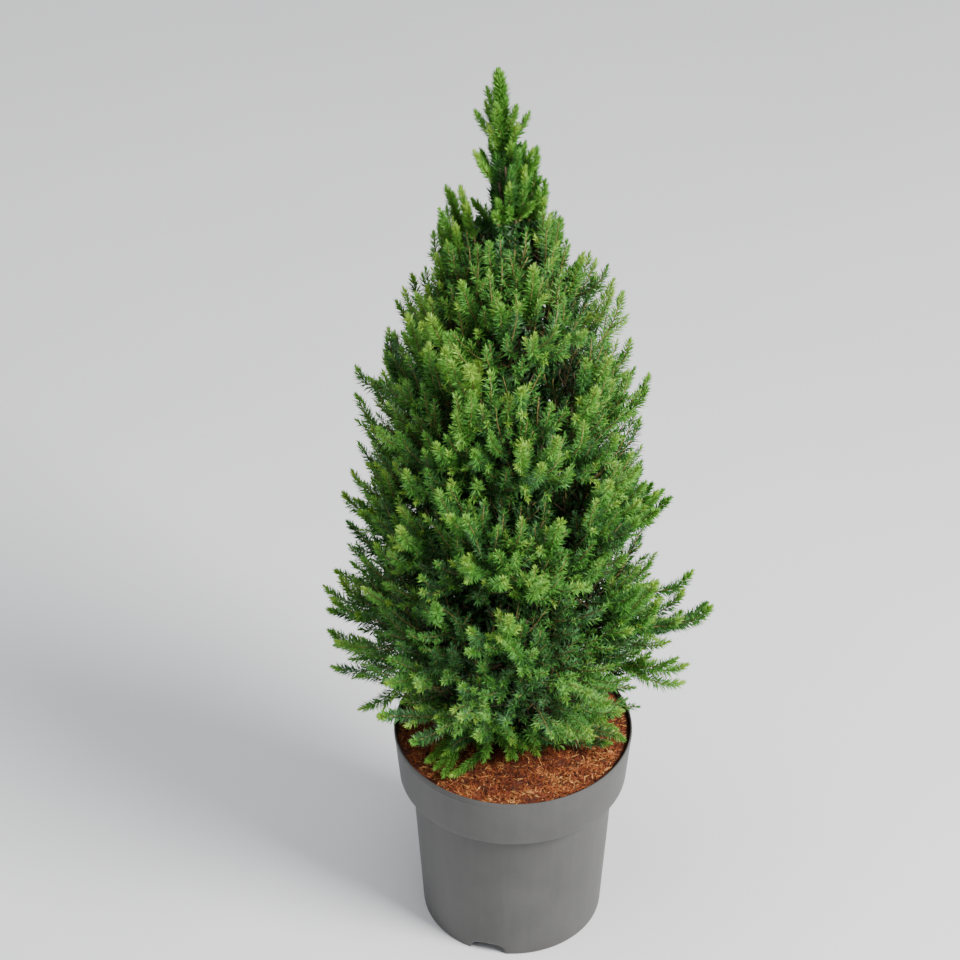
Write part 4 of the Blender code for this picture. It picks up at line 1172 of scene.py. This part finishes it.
stray = in_gap(shoot_paths + 0.004 * UP).any(1) & (shoots.depth > 0)
shoot_kept = free(shoot_paths[:, 3:]).all(1) & ~stray
side_kept = free(side_paths).all(1) & shoot_kept[side_owner]
side_paths = side_paths[side_kept]
side_owner = (np.cumsum(shoot_kept) - 1)[side_owner[side_kept]]
shoot_paths, shoot_length = shoot_paths[shoot_kept], shoot_length[shoot_kept]
shoots = Shoots(*(part[shoot_kept] for part in shoots))
print(len(shoot_paths), "shoots and", len(side_paths), "side shoots are kept")

# %% [markdown]
# ## Twigs as tubes
# Old twigs are grey-brown like the boughs and up to 4 mm thick. The year's new stems are tan and 1 to 2 mm,
# so tubes of four and of three sides are enough. The tubes of each kind are joined into one mesh.

# %% Twigs
WOOD_PICKED = [0, 2, 5, 8, 11]
SHOOT_RADII, SIDE_RADII = (0.0012, 0.0005), (0.0007, 0.0004)


def tube_mesh(bundles):
    """Joins bundles of (paths, root radius, tip radius, sides) into points, quads and end triangles."""
    points, quads, ends, start = [], [], [], 0
    for paths, root, tip, sides in bundles:
        count, rings = paths.shape[:2]
        radii = np.repeat(np.linspace(root, tip, rings)[None], count, axis=0)
        grid = tubes(paths, radii, sides)
        points.append(grid.reshape(-1, 3))
        base = start + np.arange(count)[:, None, None] * rings * sides
        quads.append((ring_faces(rings, sides)[None] + base).reshape(-1, 4))
        cap = np.arange(sides)[None] if sides == 3 else np.array([(0, 1, 2), (0, 2, 3)])
        far = cap + (rings - 1) * sides
        ends.append((np.concatenate((cap[:, ::-1], far))[None] + base).reshape(-1, 3))
        start += count * rings * sides
    return np.vstack(points), [np.vstack(quads), np.vstack(ends)]


shown = [(paths[~in_gap(paths).any(axis=1)][:, WOOD_PICKED], root, tip, 4) for paths, root, tip in woods]
twig_bark = grained("grey-brown twig bark", [(0.35, "#332818"), (0.65, "#544530")], 6, 3.0, 0.75, 0.4)
tan_bark = grained("tan new stems", [(0.35, "#6E6234"), (0.65, "#8C7C47")], 5, 3.0, 0.75, 0.4)
twigs = new_piece("old_twigs", *tube_mesh(shown), twig_bark)
stems = new_piece("young_stems", *tube_mesh([(shoot_paths[:, ::2], *SHOOT_RADII, 3)]), tan_bark)
side_stems = new_piece("side_stems", *tube_mesh([(side_paths, *SIDE_RADII, 3)]), tan_bark)
for piece in (twigs, stems, side_stems):
    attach(piece, "root")

# %% [markdown]
# ## Needles
# A needle is about a centimetre long. These are a little wider than real ones, so that some 240,000 clothe
# the crown. They follow each other round the stem by the golden angle. On older wood they stand off at some
# 55 degrees. Near the tip they crowd, shorten and lean forwards, and that closes the brush to a soft point.

# %% Needles along curves
CROWDING = 1.35
OLD_FROM_TIP, CLOSED_FROM_TIP = 0.024, 0.0035
TIP_LEAN = 33
YOUNG_LENGTH, ADDED_LENGTH = 0.0074, 0.0030

Needles = namedtuple("Needles", "owner from_tip root way length wide")


def needle_rows(paths, lengths, bare, weight, size, spread, spacing, random):
    """Needles on curves: share = bare + (1 - bare) (1 - (1 - u)^1.35), so that they crowd at the tip. Their
    angle to the stem is 33 degrees + spread * age, and less on the last 3.5 mm."""
    counts = np.maximum(3, (lengths * (1 - bare) * weight / spacing)).astype(int)
    owner = np.repeat(np.arange(len(paths)), counts)
    order = np.arange(len(owner)) - np.repeat(np.cumsum(counts) - counts, counts)
    even = (order + random.random(len(owner))) / counts[owner]
    share = bare[owner] + (1 - bare[owner]) * (1 - (1 - even) ** CROWDING)
    from_tip = (1 - share) * lengths[owner]
    root, tangent = at_share(paths[owner], share)
    across, other = crossways(tangent)
    roll = GOLDEN_ANGLE * order + random.normal(0, 0.3, len(owner)) + owner
    out = np.cos(roll)[:, None] * across + np.sin(roll)[:, None] * other
    age = np.clip(from_tip / OLD_FROM_TIP, 0, 1) ** 0.7
    opened = np.clip(from_tip / CLOSED_FROM_TIP, 0.35, 1)
    lean = (TIP_LEAN + spread[owner] * age) * opened + random.normal(0, 6, len(owner))
    lean = np.radians(lean)[:, None]
    way = unit(np.cos(lean) * tangent + np.sin(lean) * out + 0.06 * UP)
    length = (YOUNG_LENGTH + ADDED_LENGTH * age) * size[owner] * random.uniform(0.85, 1.12, len(owner))
    wide = unit(np.cross(way, out + random.normal(0, 0.4, (len(owner), 3))))
    return Needles(owner, from_tip, root, way, length, wide)


print("needles are", round((YOUNG_LENGTH + ADDED_LENGTH) * 1000, 1), "mm long on older wood")

# %% [markdown]
# How densely a shoot is clothed is its weight, and all of them share one number of needles. Tips on the
# outside and at the crown's edges get more. Shoots inside get fewer needles, and those are wider and longer.

# %% How each shoot is clothed
TIP_WEIGHT, PROUD_WEIGHT, PLAIN_WEIGHT, LEADER_WEIGHT, INNER_WEIGHT = 2.4, 3.0, 4.2, 8.0, 0.36
PLAIN_SPREAD, LEADER_SPREAD, SPREAD = 7.0, 8.0, 24.0
PLAIN_COARSE, INNER_COARSE = 0.95, 2.7
LEADER_SIZE, INNER_SIZE = 1.45, 1.36
CLOTHED_LENGTH = 0.088
EDGE_REACH, EDGE_TOP, EDGE_DEPTH = 0.115, 0.62, 0.25

bare = np.clip(1 - CLOTHED_LENGTH / shoot_length, 0.10, 0.8)
side_weight = np.where(shoots.inner, INNER_WEIGHT, np.clip(1.5 - 2.6 * shoots.depth, 0.6, 1.7))
weight = np.where(shoots.depth < 0.05, TIP_WEIGHT, side_weight)
weight[shoots.depth == PROUD_DEPTH] = PROUD_WEIGHT
sideways = np.abs(shoots.tip[:, 0] - CROWN_MIDDLE)
edge = (sideways > EDGE_REACH) & (shoots.tip[:, 2] < EDGE_TOP) & (shoots.depth < EDGE_DEPTH)
side_weight[edge] *= 1.5
weight[edge] *= 1.35
coarse = np.where(shoots.inner, INNER_COARSE, 1 + 0.8 * np.clip(shoots.depth, 0, 0.4))
size = np.clip(shoots.size, 0.95, 1.10) * np.where(shoots.inner, INNER_SIZE, 1.0)
spread = np.full(len(shoots.tip), SPREAD)
weight[shoots.plain], coarse[shoots.plain], spread[shoots.plain] = PLAIN_WEIGHT, PLAIN_COARSE, PLAIN_SPREAD
weight[-1], size[-1], spread[-1] = LEADER_WEIGHT, LEADER_SIZE, LEADER_SPREAD
print(int(edge.sum()), "shoots at the crown's edges are clothed more densely")

# %% Place the needles
NEEDLES = 240000
SIDE_BARE = 0.05
SIDE_SIZE = 0.95

side_length = lengths_of(side_paths)
side_bare = np.full(len(side_paths), SIDE_BARE)
side_weight = side_weight[side_owner]
run = (shoot_length * (1 - bare) * weight).sum()
run += (side_length * (1 - side_bare) * side_weight).sum()
spacing = run / NEEDLES
on_main = needle_rows(shoot_paths, shoot_length, bare, weight, size, spread, spacing, random)
looks = side_weight, size[side_owner] * SIDE_SIZE, spread[side_owner]
on_side = needle_rows(side_paths, side_length, side_bare, *looks, spacing, random)
on_side = on_side._replace(owner=side_owner[on_side.owner])
needles = Needles(*(np.concatenate(pair) for pair in zip(on_main, on_side)))
print(len(needles.owner), "needles,", round(spacing * 1000, 2), "mm apart along the stems")

# %% [markdown]
# Colour follows age. The year's growth at the tips is yellow-green and last year's is a full green. Shoots
# set deep in the crown are coloured dark, partly the old needles' own colour and partly painted shade of the
# crown's inside, and some shoots are bluish. Each shoot has its own tone, and a needle's place on its shoot
# shifts it. A shoot in flush has much brighter tips, and half the shoots on the left side get such tips too,
# as painted light on the side that the key light leaves darker.

# %% Tones
# The first value brightens the tips of shoots in flush and also of the left side's shoots, where it is
# painted light.
FLUSH_AND_PAINTED_LIGHT_GLOW, TIP_GLOW = 0.62, 0.16
GLOW_LENGTH = 0.013
COOL_ODDS = 0.22

owner, count = needles.owner, len(shoots.tip)
tone = random.normal(0.0, 0.13, count) + 0.45 * (value_noise(shoots.tip, 0.050, 21) - 0.5)
# Set-back and inner shoots are darkened: partly the old needles' own darker green and partly painted shade of
# the crown's inside.
tone = tone - 1.4 * np.clip(shoots.depth, 0, 0.7) - 0.2 * shoots.inner
tone[shoots.plain] = 0.5 * tone[shoots.plain] + 0.10
tone[-1] = 0.14
flush_and_painted_light = random.random(count) < np.interp(shoots.tip[:, 2], (0.78, 0.86), (0.62, 0.25))
# Half the shoots on the left side get bright flush tips too: painted light where the key light from the right
# leaves the crown darker.
flush_and_painted_light |= (shoots.tip[:, 0] < -0.10) & (random.random(count) < 0.5)
flush_and_painted_light = (flush_and_painted_light & (shoots.depth < 0.12)) | (shoots.depth == PROUD_DEPTH)
flush_and_painted_light[-1] = False
cool = (random.random(count) < COOL_ODDS) & ~shoots.plain
older = np.clip((needles.from_tip - 0.018) / 0.05, 0, 1)
value = tone[owner] - 0.35 * older + random.normal(0, 0.06, len(owner))
glow = np.where(flush_and_painted_light[owner], FLUSH_AND_PAINTED_LIGHT_GLOW, TIP_GLOW)
value += glow * np.clip(1 - needles.from_tip / GLOW_LENGTH, 0, 1)
print(int(flush_and_painted_light.sum()), "shoots in flush and", int(cool.sum()), "cool ones")

# %% [markdown]
# The needles are ranked by that value and dealt out to a few plain greens, from the darkest up. A plain
# colour is right for something one millimetre wide, and it survives an export.

# %% Greens
GREENS = (
    ("deep_needles", "#294F23", 0.50),
    ("shade_needles", "#34642B", 0.48),
    ("bluish_needles", "#40713D", 0.46),
    ("green_needles", "#4B8533", 0.46),
    ("grass_needles", "#67A140", 0.45),
    ("fresh_needles", "#74A942", 0.44),
    ("tip_needles", "#93BC4B", 0.44),
)
SHARES = (0.18, 0.41, 0.71, 0.875, 0.955)
NEEDLE_WIDTH = 0.00134
# A needle has four faces, and no piece may pass 200,000.
MOST_NEEDLES = 49000

# The six ranks pass over the bluish green, which takes the place of the full green on cool shoots.
rank = np.digitize(value, np.quantile(value, SHARES))
green = rank + (rank > 1)
green[(rank == 2) & cool[owner]] = 2
width = NEEDLE_WIDTH * size[owner] * coarse[owner]
blades = slivers(needles.root, needles.root + needles.way * needles.length[:, None], needles.wide, width)
for index, (name, colour, roughness) in enumerate(GREENS):
    material, _, shader = new_material("waxy " + name.replace("_", " "))
    shader.inputs["Base Color"].default_value = linear(colour)
    shader.inputs["Roughness"].default_value = roughness
    shader.inputs["IOR"].default_value = 1.45
    chosen = blades[green == index]
    for part, some in enumerate(np.array_split(chosen, max(1, math.ceil(len(chosen) / MOST_NEEDLES)))):
        piece = new_piece(f"{name}_{part + 1}", *sliver_mesh(some), material, smooth=False)
        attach(piece, "root")
        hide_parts(*MASSES)

# %% Finish
bpy.context.view_layer.update()
